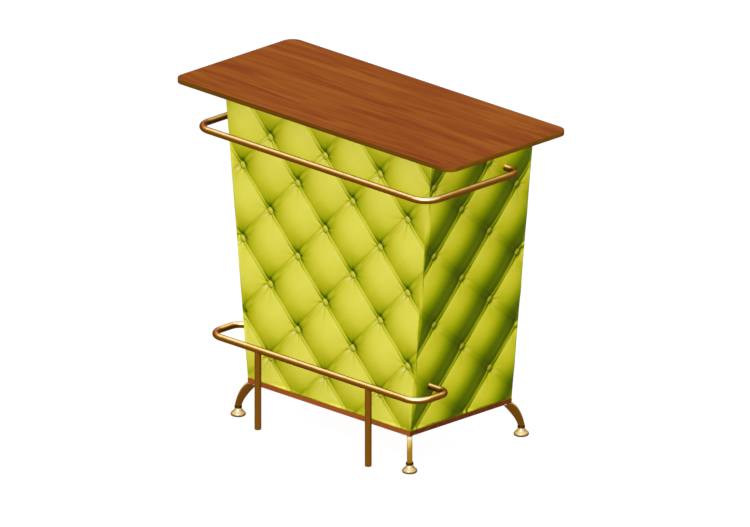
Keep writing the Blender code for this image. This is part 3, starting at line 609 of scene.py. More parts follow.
@dataclass
class Finishes:
    """All the cabinet's finishes, made once."""

    top_veneer: bpy.types.Material = field(init=False)
    board_veneer: bpy.types.Material = field(init=False)
    upright_veneer: bpy.types.Material = field(init=False)
    edge_strip: bpy.types.Material = field(init=False)
    leatherette: bpy.types.Material = field(init=False)
    brass: bpy.types.Material = field(init=False)
    bronzed: bpy.types.Material = field(init=False)
    leg_brass: bpy.types.Material = field(init=False)
    foot_brass: bpy.types.Material = field(init=False)
    dark_brass: bpy.types.Material = field(init=False)
    satin_brass: bpy.types.Material = field(init=False)
    zinc: bpy.types.Material = field(init=False)
    plastic: bpy.types.Material = field(init=False)

    def __post_init__(self) -> None:
        """Make each finish's material."""
        # The worktop's veneer is seen whole, so its figure is the widest and swirls the most.
        self.top_veneer = CherryVeneer("top_veneer", "#965518", "#8A4510", "#793308", figure_width=62.0,
                                       figure_length=560.0, streak_width=15.0, streak_length=420.0,
                                       swirl=1.5, figure_share=0.62).make()
        # The boards' veneer is redder and plainer; their ends, the faces that look along X, get painted
        # shade.
        self.board_veneer = CherryVeneer("board_veneer", "#B0622C", "#A65926", "#944B1F",
                                         painted_end_light=0.62).make()
        # On the doors and end boards the same veneer stands up.
        self.upright_veneer = CherryVeneer("upright_veneer", "#AC5E2C", "#A15526", "#8F481F",
                                           GrainWay.UPWARDS).make()
        # The strip round the worktop is stained an even olive brown, with painted light on its ends.
        self.edge_strip = CherryVeneer("edge_strip", "#7A4E12", "#71460E", "#603A0A",
                                       streak_width=4.0, painted_end_light=1.6).make()
        # Leatherette is lime; a painted highlight makes it pale before the buttons, and painted shade makes
        # it greener as it turns from the key light and dark olive in its folds.
        self.leatherette = Leatherette(
            "lime_leatherette", ((0.0, "#E4DF92"), (0.12, "#E2DD58"), (0.42, "#ECE640"), (0.54, "#E8E528"),
                                 (0.74, "#DCE60C"), (1.0, "#C8EA02")),
            "#1E2A00").make()
        # The rails' tube is an aged brown but for one bright gold painted highlight line on the side towards
        # the light.
        self.brass = LacqueredBrass(
            "polished_brass", ((0.27, "#754A0F"), (0.59, "#71480E"), (0.738, "#6E440D"), (0.783, "#6F440C"),
                               (0.831, "#77490D"), (0.8727, "#945C13"), (0.904, "#B27C24"),
                               (0.927, "#CCA14E"), (0.94, "#F6D083"), (0.949, "#FBE9C0"),
                               (1.0, "#E9DDB4"))).make()
        # The cast legs are duller, so they mirror little; their painted highlight edge is broad and soft,
        # their far side painted dark.
        self.leg_brass = LacqueredBrass(
            "leg_brass", ((0.0, "#513208"), (0.5, "#6E440C"), (0.66, "#71460C"), (0.73, "#7F540E"),
                          (0.78, "#8C5E12"), (0.83, "#9B6E1B"), (0.88, "#946C20"), (0.93, "#9B7C37"),
                          (0.955, "#AF9A66"), (0.975, "#CBBE96"), (0.985, "#E3DBBC")),
            mirror=(0.12, 0.08)).make()
        # The turned bells are painted from nearly black shade at the floor to a pale gold highlight on the
        # shoulder.
        self.foot_brass = LacqueredBrass(
            "foot_brass", ((0.0, "#2E1B06"), (0.45, "#3E2608"), (0.58, "#5A370A"), (0.68, "#7A4E10"),
                           (0.78, "#9A6C20"), (0.86, "#B78A3A"), (0.93, "#CDB478"), (1.0, "#CFC6A4")),
            mirror=(0.2, 0.12)).make()
        # The posts' brass has bronzed to a brown, a little lighter as painted light on the side towards the
        # highlight.
        self.bronzed = LacqueredBrass(
            "bronzed_brass", ((0.0, "#74490C"), (0.84, "#7F500F"), (1.0, "#8F601C")), roughness=0.4).make()
        # The collars' brass has aged nearly black, a little lighter as painted light on the side towards the
        # highlight.
        self.dark_brass = LacqueredBrass(
            "aged_brass", ((0.0, "#2E1A06"), (0.84, "#42270B"), (1.0, "#4A2C0C")), roughness=0.4).make()
        # The finger pulls are brushed, so they scatter the light evenly.
        self.satin_brass = PlainFinish("satin_brass", "#C0964C", "#AE853E", 0.35, 1.0).make()
        # Zinc plate on steel is a cool light grey with a faint spangle.
        self.zinc = PlainFinish("zinc_plate", "#B9B9B4", "#A2A29E", 0.38, 1.0).make()
        # Moulded plastic is an even dull brown.
        self.plastic = PlainFinish("brown_plastic", "#4E3220", "#432A1A", 0.5).make()


@dataclass
class CarcassShape:
    """The body's own sizes, read from the frame: its planes and the lean of its ends."""

    front_y: float = field(init=False)
    rear_y: float = field(init=False)
    foot_z: float = field(init=False)
    head_z: float = field(init=False)
    foot_half: float = field(init=False)
    lean: float = field(init=False)
    lean_cos: float = field(init=False)

    def __post_init__(self) -> None:
        """Read the planes from the bottom board, the pads and the worktop."""
        low, high = cad_box("bottom_board")
        self.front_y, self.rear_y = low[1], high[1]
        self.foot_z = high[2]
        self.foot_half = high[0]
        self.head_z = cad_box("worktop")[0][2]
        pad_high = cad_box("front_pad")[1]
        self.lean = (pad_high[0] - self.foot_half) / (pad_high[2] - self.foot_z)
        self.lean_cos = 1 / math.hypot(1, self.lean)

    def half_width(self, height: Array | float) -> Array | float:
        """Distance from the middle to an end's seam plane at a height."""
        return self.foot_half + self.lean * (height - self.foot_z)


class PadFace(Enum):
    """Which face of the body a pad covers."""

    FRONT = "front"
    LEFT = "left"
    RIGHT = "right"


@dataclass(frozen=True)
class Patch:
    """A soft patch beside a button, 1 at its middle.

    Its strength is e to the minus both distances from the middle, each over its reach and squared;
    across the deep fold the power can be higher, which flattens the top.
    """

    at_s: float
    at_t: float
    reach_s: float
    reach_t: float
    power: int = 2

    def share(self, s: Array, t: Array) -> Array:
        """The patch's strength at distances s and t from the nearest deep and slight fold."""
        return np.exp(-((s - self.at_s) / self.reach_s) ** self.power
                      - ((t - self.at_t) / self.reach_t) ** 2)


def hump(distance: Array, width: float, power: int = 2) -> Array:
    """A hump, 1 at 0: e to the minus distance over width, squared, or to the 4th for a flatter top."""
    return np.exp(-(distance / width) ** power)


@dataclass(frozen=True)
class RollShape:
    """How one pad's rolls are stuffed and how their shade is painted, where the front and the ends differ.

    Pairs give the value before and after a slight fold. A line is its place, its depth and its painted
    shade; a pocket is its place past the deep and the slight fold, its reach both ways and its painted
    shade, which is painted light where it is below 0.
    """

    # The crest's height, the roll's section from one deep fold to the next as shares of the way and
    # of the height, and the share that is left over a slight fold.
    crown: float
    section: tuple[tuple[float, float], ...]
    slight_floor: float
    # The strip and the groove along a deep fold with their painted shade, and the lines along a slight one.
    strip_at: float
    strip_shade: float
    groove_at: float
    groove_width: float
    groove: tuple[float, float]
    groove_reach: tuple[float, float]
    slight_lines: tuple[tuple[float, float, float], ...]
    # The painted shade beside a slight fold, and its reach.
    slight_shade: tuple[float, float]
    slight_reach: tuple[float, float]
    # The painted shade on a roll's flank by the distance past its deep fold, and more near a slight fold.
    flank_from: float
    flank_shades: tuple[tuple[float, float], ...]
    flank_corner: tuple[float, float]
    corner_reach: tuple[float, float]
    # The painted light on the open ridge, the even and lower painted shade of a button, and painted shade in
    # creases.
    ridge_light: float
    button_shade: tuple[float, float]
    crease_shade: float
    pockets: tuple[tuple[float, float, float, float, float], ...]


FRONT_ROLLS = RollShape(
    crown=3.5,
    section=((0.0, 0.0), (0.03, 0.21), (0.11, 0.52), (0.18, 0.73), (0.26, 0.89), (0.33, 0.97), (0.41, 1.0),
             (0.48, 0.96), (0.55, 0.86), (0.62, 0.73), (0.69, 0.58), (0.77, 0.42), (0.84, 0.29), (0.92, 0.16),
             (1.0, 0.07)),
    slight_floor=0.55,
    strip_at=1.0,
    strip_shade=0.14,
    groove_at=-5.5,
    groove_width=3.2,
    groove=(0.85, 0.4),
    groove_reach=(46.0, 46.0),
    slight_lines=((-12.0, 0.8, 0.26), (8.0, 0.35, 0.08)),
    slight_shade=(0.28, 0.18),
    slight_reach=(38.0, 28.0),
    flank_from=2.5,
    flank_shades=((8.0, 0.16), (16.0, 0.15), (26.0, 0.12), (48.0, 0.12), (62.0, 0.11), (80.0, 0.06),
                  (100.0, 0.02), (116.0, 0.0)),
    flank_corner=(0.44, 0.28),
    corner_reach=(28.0, 56.0),
    ridge_light=0.55,
    button_shade=(0.26, 0.25),
    crease_shade=0.4,
    pockets=((17.0, -12.0, 7.0, 7.0, 0.68), (17.0, 6.0, 6.5, 6.0, 0.78), (9.0, -24.0, 5.5, 15.0, 0.62),
             (10.0, 18.0, 5.5, 12.0, 0.45), (9.0, -45.0, 5.0, 20.0, 0.12), (9.0, 40.0, 5.0, 20.0, 0.14),
             (18.0, -2.0, 12.0, 9.0, 0.3), (-24.0, -13.0, 14.0, 4.0, 0.2), (-13.0, 2.0, 3.0, 7.0, 0.25)))

END_ROLLS = RollShape(
    crown=8.5,
    section=((0.0, 0.0), (0.08, 0.22), (0.15, 0.42), (0.23, 0.645), (0.3, 0.82), (0.37, 0.943), (0.444, 1.0),
             (0.516, 0.985), (0.586, 0.92), (0.66, 0.82), (0.736, 0.68), (0.81, 0.53), (0.9, 0.34),
             (1.0, 0.12)),
    slight_floor=0.62,
    strip_at=2.5,
    strip_shade=0.38,
    groove_at=-4.6,
    groove_width=4.6,
    groove=(0.86, 0.84),
    groove_reach=(68.0, 56.0),
    slight_lines=((-10.0, 0.5, 0.1), (9.0, 0.5, 0.1)),
    slight_shade=(0.2, 0.22),
    slight_reach=(28.0, 28.0),
    flank_from=5.5,
    flank_shades=((9.0, 0.67), (13.0, 0.58), (20.0, 0.49), (30.0, 0.43), (40.0, 0.45), (50.0, 0.53),
                  (60.0, 0.53), (72.0, 0.44), (84.0, 0.33), (92.0, 0.27), (103.0, 0.14), (116.0, 0.05),
                  (130.0, 0.0)),
    flank_corner=(0.4, 0.45),
    corner_reach=(42.0, 78.0),
    ridge_light=0.0,
    button_shade=(0.45, 0.75),
    crease_shade=0.16,
    pockets=((-10.0, 0.0, 4.5, 12.0, 0.55), (8.0, -18.0, 6.0, 14.0, 0.1), (8.0, 18.0, 6.0, 14.0, 0.1),
             (3.0, 32.0, 3.0, 20.0, -0.3), (2.5, -28.0, 3.0, 14.0, -0.2), (9.5, 36.0, 3.0, 26.0, 0.22),
             (9.5, -38.0, 3.0, 26.0, 0.25), (-4.6, -34.0, 2.6, 18.0, 0.4), (-4.6, 24.0, 2.6, 9.0, 0.35)))


@dataclass(frozen=True)
class CoverCloth:
    """Blows a cover up like cloth: air presses it out, and folds, buttons and seams hold it down."""

    spacing: float = 9.0
    pressure: float = 4.0
    frames: int = 20
    least: float = -1.0
    most: float = 5.0

    def blow_up(self, name: str, start: Array, held: Array, outward: Array) -> Array:
        """Run the cloth simulation on a coarse copy of a cover.

        Args:
            name: the pad's name.
            start: (rows, columns, 3) places before the air goes in.
            held: which points the folds, buttons and seams hold.
            outward: the way the cover faces.

        Returns:
            (rows, columns) distances that the points moved outwards, capped both ways.
        """
        rows, columns = held.shape
        mesh = mesh_from_arrays(name + "_cloth", start.reshape(-1, 3), grid_quads(rows, columns))
        cover = bpy.data.objects.new(mesh.name, mesh)
        scene = bpy.context.scene
        scene.collection.objects.link(cover)
        cover.vertex_groups.new(name="held").add(np.flatnonzero(held).tolist(), 1.0, "REPLACE")
        cloth = cover.modifiers.new("air", "CLOTH")
        cloth.settings.vertex_group_mass = "held"
        cloth.settings.use_pressure = True
        cloth.settings.uniform_pressure_force = self.pressure * float(
            np.sign(np.dot(mesh.polygons[0].normal, outward)))
        cloth.settings.effector_weights.gravity = 0.0
        cloth.point_cache.frame_end = self.frames
        for step in range(1, self.frames + 1):
            scene.frame_set(step)
        applied = bpy.data.meshes.new_from_object(cover.evaluated_get(bpy.context.evaluated_depsgraph_get()))
        after = np.empty(start.size, dtype=np.float32)
        applied.vertices.foreach_get("co", after)
        bpy.data.objects.remove(cover)
        bpy.data.meshes.remove(applied)
        bpy.data.meshes.remove(mesh)
        scene.frame_set(1)
        moved = (after.reshape(start.shape) / METRES - start) @ outward
        LOG.info("blew up %s: %.1f mm on average, %.1f mm at most", name, moved.mean(), moved.max())
        return np.clip(moved, self.least, self.most)

    @staticmethod
    def spread(coarse: Array, rows: int, columns: int) -> Array:
        """Carry a coarse grid's values to a finer one by cubic B-splines, which leave no facets.

        Args:
            coarse: the values.
            rows: rows of the finer grid.
            columns: its columns.

        Returns:
            The finer grid's values.
        """
        def weights(fine: int, count: int) -> Array:
            """Each fine row's share of each coarse row."""
            off = np.abs(np.linspace(0, count - 1, fine)[:, None] - np.arange(count))
            near = 2 / 3 - off ** 2 + off ** 3 / 2
            share = np.where(off < 1, near, np.clip(2 - off, 0, None) ** 3 / 6)
            return share / share.sum(axis=1, keepdims=True)

        return weights(rows, coarse.shape[0]) @ coarse @ weights(columns, coarse.shape[1]).T


# A covered button's section, as shares of its radius and of its rise over the rim.
BUTTON_DOME = ((0.0, 1.0), (0.25, 0.96), (0.5, 0.84), (0.7, 0.66), (0.86, 0.42), (0.96, 0.16),
               (1.0, -0.1), (0.96, -0.35), (0.8, -0.5), (0.0, -0.5))


@dataclass
class TuftedPad:
    """One tufted cushion with its covered buttons.

    Buttons sit on a square lattice that stands on its corner. One family of folds is a deep pleat,
    a flat doubled strip with a groove before it, and the other a slight one. The pads mirror each
    other at the cabinet's corner, so on every pad s counts from the nearest deep fold towards the
    top inner side, and t from the nearest slight fold. Height over the seam plane, in words: the
    floor of the folds, plus the roll's section times the rise to the crown, lower over a slight
    fold, plus the strips, less the grooves, plus gathers that wave round the button and die away
    from it, all of it faded out at the seams. The rolls also take what the air does to them: as
    cloth they start slack and are blown up between the folds. Sizes are in millimetres.
    """

    face: PadFace
    carcass: CarcassShape
    # The lattice, the rolls between its folds, and the pad's edges.
    button_pitch: float = 248.0
    fold_floor: float = 6.0
    button_depth: float = 9.5
    dimple_reach: float = 21.0
    slight_round: float = 0.8
    band_half: float = 6.0
    seam_fade: float = 9.0
    seam_roll: float = 1.6
    seam_gap: float = 0.3
    thickness: float = 23.7
    back_clear: float = 3.5
    crest_clear: float = 2.5
    wall_shares: tuple[float, ...] = (0.35, 0.7, 1.0)
    spacing: float = 2.0
    # The covered buttons, their rims and lower side with painted shade, and how far each way from
    # the first button the lattice is searched for others.
    button_diameter: float = 27.0
    button_rise: float = 5.0
    button_proud: float = 0.5
    button_facets: int = 28
    lattice_reach: int = 12
    button_rim_at: float = 0.8
    button_rim_shades: tuple[float, float] = (0.04, 0.34)
    button_dark_from: float = 0.35
    button_shade_tint: float = 0.3
    # The strip and the groove along a deep fold, the ridge and the lines along a slight one. They
    # begin clear of the button; a line is deepest near it and keeps its far share further off.
    button_clear: float = 14.0
    strip_rise: float = 1.0
    groove_depth: tuple[float, float] = (0.3, 2.4)
    ridge_rise: float = 0.9
    line_width: float = 3.2
    line_far_share: float = 0.45
    line_near: float = 55.0
    # The gathers: two waves round each button, which set in at its rim and die away from it.
    gather_height: float = 0.45
    gather_waves: tuple[int, int] = (9, 14)
    gather_second: float = 0.7
    gather_from: float = 11.0
    gather_rise: float = 6.0
    gather_full: float = 15.0
    gather_reach: float = 9.0
    gather_draws: int = 64
    seed: int = 11
    # How far from the folds and the buttons the cover is held, and its slack before the air.
    hold_deep: float = 8.0
    hold_slight: float = 5.0
    hold_button: float = 18.0
    slack: float = 1.0
    cloth: CoverCloth = CoverCloth()
    # How the painted shade reaches the folds: where it sets in, and the two patches painted lighter.
    flank_rise: float = 5.0
    beside_from: float = 8.0
    corner_past: float = 8.0
    line_shade_width: float = 4.0
    line_shade_far: float = 0.4
    line_shade_near: float = 48.0
    strip_lit: float = 0.85
    strip_near: float = 45.0
    hollow_light: float = 0.7
    open_hollow: Patch = Patch(-25.0, 0.0, 22.0, 25.0)
    open_ridge: Patch = Patch(46.0, -4.0, 27.0, 6.0, 4)
    # Where the crinkles get a painted highlight, how near a whole button, how pale, and the walls' fixed
    # tint.
    crinkle: Patch = Patch(-22.0, 0.0, 14.0, 8.0)
    crinkle_near: float = 60.0
    crinkle_highlight: float = 1.6
    wall_tint: float = 0.4

    @property
    def name(self) -> str:
        """The frame node that this pad stands for."""
        return self.face.value + "_pad"

    @property
    def rolls(self) -> RollShape:
        """The stuffing of this pad's rolls."""
        return FRONT_ROLLS if self.face is PadFace.FRONT else END_ROLLS

    @property
    def origin(self) -> tuple[float, float]:
        """Across and up of one button, from the middle of the body and along the face."""
        if self.face is PadFace.FRONT:
            return -23.2, 961.6
        return 43.2, self.up_from_height(990.6)

    @property
    def turn(self) -> float:
        """How far the lattice is turned in its face."""
        return 0.0 if self.face is PadFace.FRONT else math.radians(6.2)

    @property
    def cell(self) -> float:
        """Distance between neighbouring folds of one family."""
        return self.button_pitch * math.sqrt(0.5)

    def up_from_height(self, height: Array | float) -> Array | float:
        """Distance up the face at a height; an end is measured along its lean."""
        if self.face is PadFace.FRONT:
            return height
        return (height - self.carcass.foot_z) / self.carcass.lean_cos

    def height_from_up(self, up: Array | float) -> Array | float:
        """Height over the floor of a point's foot in the seam plane."""
        if self.face is PadFace.FRONT:
            return up
        return self.carcass.foot_z + up * self.carcass.lean_cos

    def place(self, across: Array, up: Array, rise: Array | float) -> Array:
        """Places of points on this pad.

        Args:
            across: distances across the face from the body's middle.
            up: distances up the face.
            rise: distances out from its seam plane.

        Returns:
            (..., 3) places in the frame's axes.
        """
        shape = self.carcass
        z = self.height_from_up(up)
        if self.face is PadFace.FRONT:
            return np.stack([across, shape.front_y - rise + 0 * across, z], axis=-1)
        middle = (shape.front_y + shape.rear_y) / 2
        x = shape.half_width(z) + rise * shape.lean_cos
        side = 1.0 if self.face is PadFace.RIGHT else -1.0
        return np.stack([side * x, middle + across, z - rise * shape.lean * shape.lean_cos], axis=-1)

    def lattice(self, across: Array, up: Array) -> tuple[Array, Array]:
        """Counts of the folds at each point: whole numbers lie on the folds.

        Args:
            across: place across the face.
            up: place up the face.

        Returns:
            Counts of the deep folds and of the slight ones.
        """
        step_across = across - self.origin[0]
        step_up = up - self.origin[1]
        local_x = step_across * math.cos(self.turn) + step_up * math.sin(self.turn)
        local_z = step_up * math.cos(self.turn) - step_across * math.sin(self.turn)
        if self.face is not PadFace.FRONT:
            local_x = -local_x
        return (local_x + local_z) / self.button_pitch, (local_x - local_z) / self.button_pitch

    def swell(self, deep: Array, slight: Array) -> Array:
        """The roll's section, carried along it and lowered over each slight fold.

        Args:
            deep: counts of the deep folds.
            slight: counts of the slight folds.

        Returns:
            The share of the roll's full height: 0 on the deep folds, 1 on its crest.
        """
        margin = self.band_half / self.cell
        way = np.clip((np.mod(deep, 1.0) - margin) / (1 - 2 * margin), 0, 1)
        curve = spline_through(np.array(self.rolls.section), 12)
        over_slight = np.abs(np.sin(np.pi * slight)) ** self.slight_round
        full = self.rolls.slight_floor + (1 - self.rolls.slight_floor) * over_slight
        return np.interp(way, curve[:, 0], curve[:, 1]) * full

    def from_folds(self, across: Array, up: Array) -> tuple[Array, Array]:
        """Distances square to the nearest deep and slight fold, below 0 before each."""
        deep, slight = self.lattice(across, up)
        return (deep - np.round(deep)) * self.cell, (slight - np.round(slight)) * self.cell

    def hull(self, across: Array, up: Array) -> Array:
        """Height of the bare rolls, which dip under each button.

        Args:
            across: place across the face.
            up: place up the face.

        Returns:
            Heights over the seam plane.
        """
        deep, slight = self.lattice(across, up)
        from_button = np.hypot(*self.from_folds(across, up))
        dip = (self.button_depth - self.fold_floor) * hump(from_button, self.dimple_reach)
        return (self.rolls.crown + self.fold_floor) * self.swell(deep, slight) - self.fold_floor - dip

    def air(self, rows: int, columns: int) -> Array:
        """Args:
            rows: rows of the fine grid.
            columns: its columns.

        Returns:
            Heights to add. The cloth starts from rolls that are slack by a share of their swell.
        """
        across, up = self.outline(self.cloth.spacing)
        edge = self.from_edge(across, up)
        s, t = self.from_folds(across, up)
        slack = self.slack * self.swell(*self.lattice(across, up))
        start = self.hull(across, up) - slack
        held = ((np.abs(s) < self.hold_deep) | (np.abs(t) < self.hold_slight)
                | (edge < self.seam_fade) | (np.hypot(s, t) < self.hold_button))
        outward = self.place(across[:1, :1], up[:1, :1], 1.0) - self.place(across[:1, :1], up[:1, :1], 0.0)
        fade = np.clip(edge / self.seam_fade, 0, 1)
        moved = self.cloth.blow_up(self.name, self.place(across, up, start * fade), held, outward[0, 0])
        return self.cloth.spread(moved - slack * fade, rows, columns)

    @staticmethod
    def from_edge(across: Array, up: Array) -> Array:
        """Distance of each point of a grid from the pad's nearest edge."""
        to_side = np.minimum(across - across[:, :1], across[:, -1:] - across)
        return np.minimum(to_side, np.minimum(up - up[0, 0], up[-1, 0] - up))

    def relief(self, across: Array, up: Array, edge: Array) -> tuple[Array, Array]:
        """The cover's height over the seam plane, as the class describes it, and its painted shade.

        Args:
            across: place across the face.
            up: place up the face.
            edge: distance to the pad's nearest edge.

        Returns:
            Heights in millimetres, and the painted shade of the folds, from 0 to 1.
        """
        deep, slight = self.lattice(across, up)
        s, t = self.from_folds(across, up)
        from_button = np.hypot(s, t)
        off_button = 1 - hump(from_button, self.button_clear, 4)
        rolls = self.rolls
        height = self.hull(across, up) + self.air(*across.shape)
        near = np.where(t < 0, *(share * hump(t, reach)
                                 for share, reach in zip(rolls.groove, rolls.groove_reach)))
        strip = hump(s - rolls.strip_at, self.band_half, 4)
        groove = hump(s - rolls.groove_at, rolls.groove_width)
        depth = self.groove_depth[0] + self.groove_depth[1] * near
        height = height + (self.strip_rise * strip - depth * groove) * off_button
        ridge = self.ridge_rise * hump(t, self.band_half, 4)
        dips = sum(dip * hump(t - at, self.line_width) for at, dip, _ in rolls.slight_lines)
        along = self.line_far_share + (1 - self.line_far_share) * hump(s, self.line_near)
        height = height + (ridge - dips) * along * off_button * (np.abs(s) > self.band_half)
        creases = self.gathers(deep, slight, s, t, from_button)
        height = height + self.gather_height * creases
        part = np.clip(edge / self.seam_fade, 0, 1)
        part = part * part * (3 - 2 * part)
        height = np.clip(height, -self.thickness + self.back_clear, rolls.crown + self.crest_clear) * part
        rest = np.clip(edge, 0, self.seam_roll)
        roll = np.sqrt(self.seam_roll ** 2 - (self.seam_roll - rest) ** 2) - self.seam_roll
        # Painted shade of the folds, darker still in the gathers' creases.
        shade = self.shade(deep, s, t, near * groove, strip)
        return height + roll, 1 - (1 - shade) * (1 - self.rolls.crease_shade * np.clip(-creases, 0, 1))

    def shade(self, deep: Array, s: Array, t: Array, groove: Array, strip: Array) -> Array:
        """The folds' painted shade, how much of the light they keep out: each term takes its part of what is
        left.

        Args:
            deep: counts of the deep folds.
            s: distance square to the nearest deep fold.
            t: distance square to the nearest slight fold.
            groove: the groove's own share at each point.
            strip: the strip's own share at each point.

        Returns:
            0 in the open to 1 where no light comes.
        """
        rolls = self.rolls
        past = np.mod(deep, 1.0) * self.cell
        on_flank = np.clip((past - rolls.flank_from) / self.flank_rise, 0, 1)
        flank = np.interp(past, *zip(*rolls.flank_shades))
        beside = np.clip(np.abs(t) - self.beside_from, 0, None)
        open_way = 1 - self.hollow_light * self.open_hollow.share(s, t)
        open_way = open_way - rolls.ridge_light * self.open_ridge.share(s, t)
        terms = [np.where(t < 0, *(dark * np.exp(-beside / reach) for dark, reach
                                   in zip(rolls.slight_shade, rolls.slight_reach))) * open_way,
                 np.where(t < 0, *rolls.flank_corner) * np.exp(-beside / rolls.corner_reach[0]) * on_flank
                 * hump(past - self.corner_past, rolls.corner_reach[1]) * open_way,
                 flank * on_flank,
                 rolls.strip_shade * strip * (1 - self.strip_lit * hump(t, self.strip_near)),
                 groove]
        along = self.line_shade_far + (1 - self.line_shade_far) * hump(s, self.line_shade_near)
        terms += [dark * hump(t - at, self.line_shade_width) * along * open_way
                  for at, _, dark in rolls.slight_lines]
        terms += [dark * Patch(*place).share(s, t) for *place, dark in rolls.pockets]
        left = np.ones_like(s)
        for term in terms:
            left = left * (1 - term)
        return 1 - left

    def gathers(self, deep: Array, slight: Array, s: Array, t: Array, from_button: Array) -> Array:
        """Short creases that run out from each button, each button with its own.

        Args:
            deep: counts of the deep folds.
            slight: counts of the slight folds.
            s: distance square to the nearest deep fold.
            t: distance square to the nearest slight fold.
            from_button: distance to the nearest button's middle.

        Returns:
            Heights of the creases: two waves round the button under an envelope that dies outwards.
        """
        draws = self.gather_draws
        draw = np.random.default_rng(self.seed).random((draws, draws, 4))
        chance = draw[np.round(deep).astype(int) % draws, np.round(slight).astype(int) % draws]
        angle = np.arctan2(t, s)
        wave = np.cos(self.gather_waves[0] * angle + math.tau * chance[..., 0])
        wave = wave + self.gather_second * np.cos(self.gather_waves[1] * angle + math.tau * chance[..., 1])
        reach = np.exp(-np.clip(from_button - self.gather_full, 0, None)
                       / (self.gather_reach + self.gather_reach * chance[..., 2]))
        start = np.clip((from_button - self.gather_from) / self.gather_rise, 0, 1)
        return wave * reach * start

    def outline(self, spacing: float) -> tuple[Array, Array]:
        """A grid that fills the pad's trapezoid or rectangle edge to edge.

        Args:
            spacing: about how far its points lie apart, in millimetres.

        Returns:
            Places across and up the face, one for each row and column.
        """
        shape = self.carcass
        low = self.up_from_height(shape.foot_z + self.seam_gap)
        high = self.up_from_height(shape.head_z - self.seam_gap)
        rows = int((high - low) / spacing) + 1
        up = np.linspace(low, high, rows)
        if self.face is PadFace.FRONT:
            right = shape.half_width(self.height_from_up(up)) - self.seam_gap
            left = -right
        else:
            half = (shape.rear_y - shape.front_y) / 2
            right = np.full(rows, half)
            left = np.full(rows, -half + self.seam_gap)
        columns = int((right - left).max() / spacing) + 1
        share = np.linspace(0, 1, columns)
        across = left[:, None] * (1 - share) + right[:, None] * share
        return across, np.broadcast_to(up[:, None], across.shape)

    def back_across(self, across: Array, up: Array) -> Array:
        """Where the pad's edges lie on its flat back, drawn in where two pads meet in a mitre.

        Args:
            across: places of the rim across the face.
            up: places of the rim up the face.

        Returns:
            Their places across the back.
        """
        shape = self.carcass
        drawn_in = self.thickness / shape.lean_cos
        if self.face is PadFace.FRONT:
            full = shape.half_width(up) - self.seam_gap
            return across * (full - drawn_in) / full
        half = (shape.rear_y - shape.front_y) / 2
        full = 2 * half - self.seam_gap
        return half - (half - across) * (full - self.thickness) / full

    def painted_crinkle_highlight(self, across: Array, up: Array) -> Array:
        """Where the crinkles just before each whole button get a pale painted highlight.

        Args:
            across: place across the face.
            up: place up the face.

        Returns:
            A share from 0 to 1.
        """
        away = np.stack([across, up], axis=-1)[:, :, None] - self.button_places()
        whole = np.hypot(away[..., 0], away[..., 1]).min(axis=-1) < self.crinkle_near
        return self.crinkle.share(*self.from_folds(across, up)) * whole

    def painted_facing_shade(self, cover: Array, shade: Array) -> Array:
        """Painted shade: how far the cover turns away from the key light and lies in a fold, from 0 to 1.

        Args:
            cover: (rows, columns, 3) places of the cover's grid.
            shade: how far each point lies in a fold.

        Returns:
            One less the light that a point gets: its normal's share of the key light times the
            part of it that reaches the fold.
        """
        normal = np.cross(np.gradient(cover, axis=1), np.gradient(cover, axis=0))
        normal /= np.linalg.norm(normal, axis=-1, keepdims=True) + 1e-9
        outward = np.array([0.0, -1.0, 0.0]) if self.face is PadFace.FRONT else np.array([1.0, 0.0, 0.0])
        key = np.array(KEY_FROM)
        if self.face is PadFace.LEFT:
            outward, key = -outward, key * [-1.0, 1.0, 1.0]
        normal *= np.sign(normal @ outward)[..., None]
        light = FILL_LEVEL + KEY_LEVEL * np.clip(normal @ key / np.linalg.norm(key), 0, None)
        return PALE_TINT + np.clip(1.0 - light * (1 - shade) / FULL_LIGHT, 0, 1)

    def build(self, finish: bpy.types.Material) -> bpy.types.Object:
        """Make the cushion: the cover's grid, three rows of side wall and a flat back.

        Args:
            finish: the cover's material.

        Returns:
            The cushion.
        """
        across, up = self.outline(self.spacing)
        rows, columns = across.shape
        rise, shade = self.relief(across, up, self.from_edge(across, up))
        cover = self.place(across, up, rise)
        # Painted shade by the key light and the folds, less a painted highlight on the crinkles before each
        # button.
        away = self.painted_facing_shade(cover, shade) - self.crinkle_highlight * PALE_TINT * self.painted_crinkle_highlight(across, up)
        cover = cover.reshape(-1, 3)
        quads = grid_quads(rows, columns)
        index = np.arange(rows * columns).reshape(rows, columns)
        rim = np.concatenate([index[0, :-1], index[:-1, -1], index[-1, :0:-1], index[:0:-1, 0]])
        rim_across, rim_up = across.ravel()[rim], up.ravel()[rim]
        walls = []
        for share in self.wall_shares:
            inward = rim_across + (self.back_across(rim_across, rim_up) - rim_across) * share
            walls.append(self.place(inward, rim_up, -self.thickness * share + 0 * inward))
        points = np.vstack([cover, *walls])
        first = len(cover)
        count = len(rim)
        ring = np.vstack([rim] + [first + k * count + np.arange(count) for k in range(len(walls))])
        after = np.roll(ring, -1, axis=1)
        wall_quads = np.stack([ring[:-1], ring[1:], after[1:], after[:-1]], axis=-1).reshape(-1, 4)
        mesh = mesh_from_arrays(self.name + "_cushion", points, np.vstack([quads, wall_quads]))
        on_walls = np.ones(len(walls) * count)
        # The cover's colour carries the painted shade of the folds and the painted tint by the key light; the
        # walls get a fixed tint.
        note_on_points(mesh, "painted_fold_shade", np.concatenate([shade.ravel(), 0 * on_walls]))
        note_on_points(mesh, "painted_facing_shade", np.concatenate([away.ravel(), self.wall_tint * on_walls]))
        close_holes(mesh)
        tidy_mesh(mesh, 60.0)
        piece = add_piece(mesh, finish, "cabinet", (self.name,))
        return piece

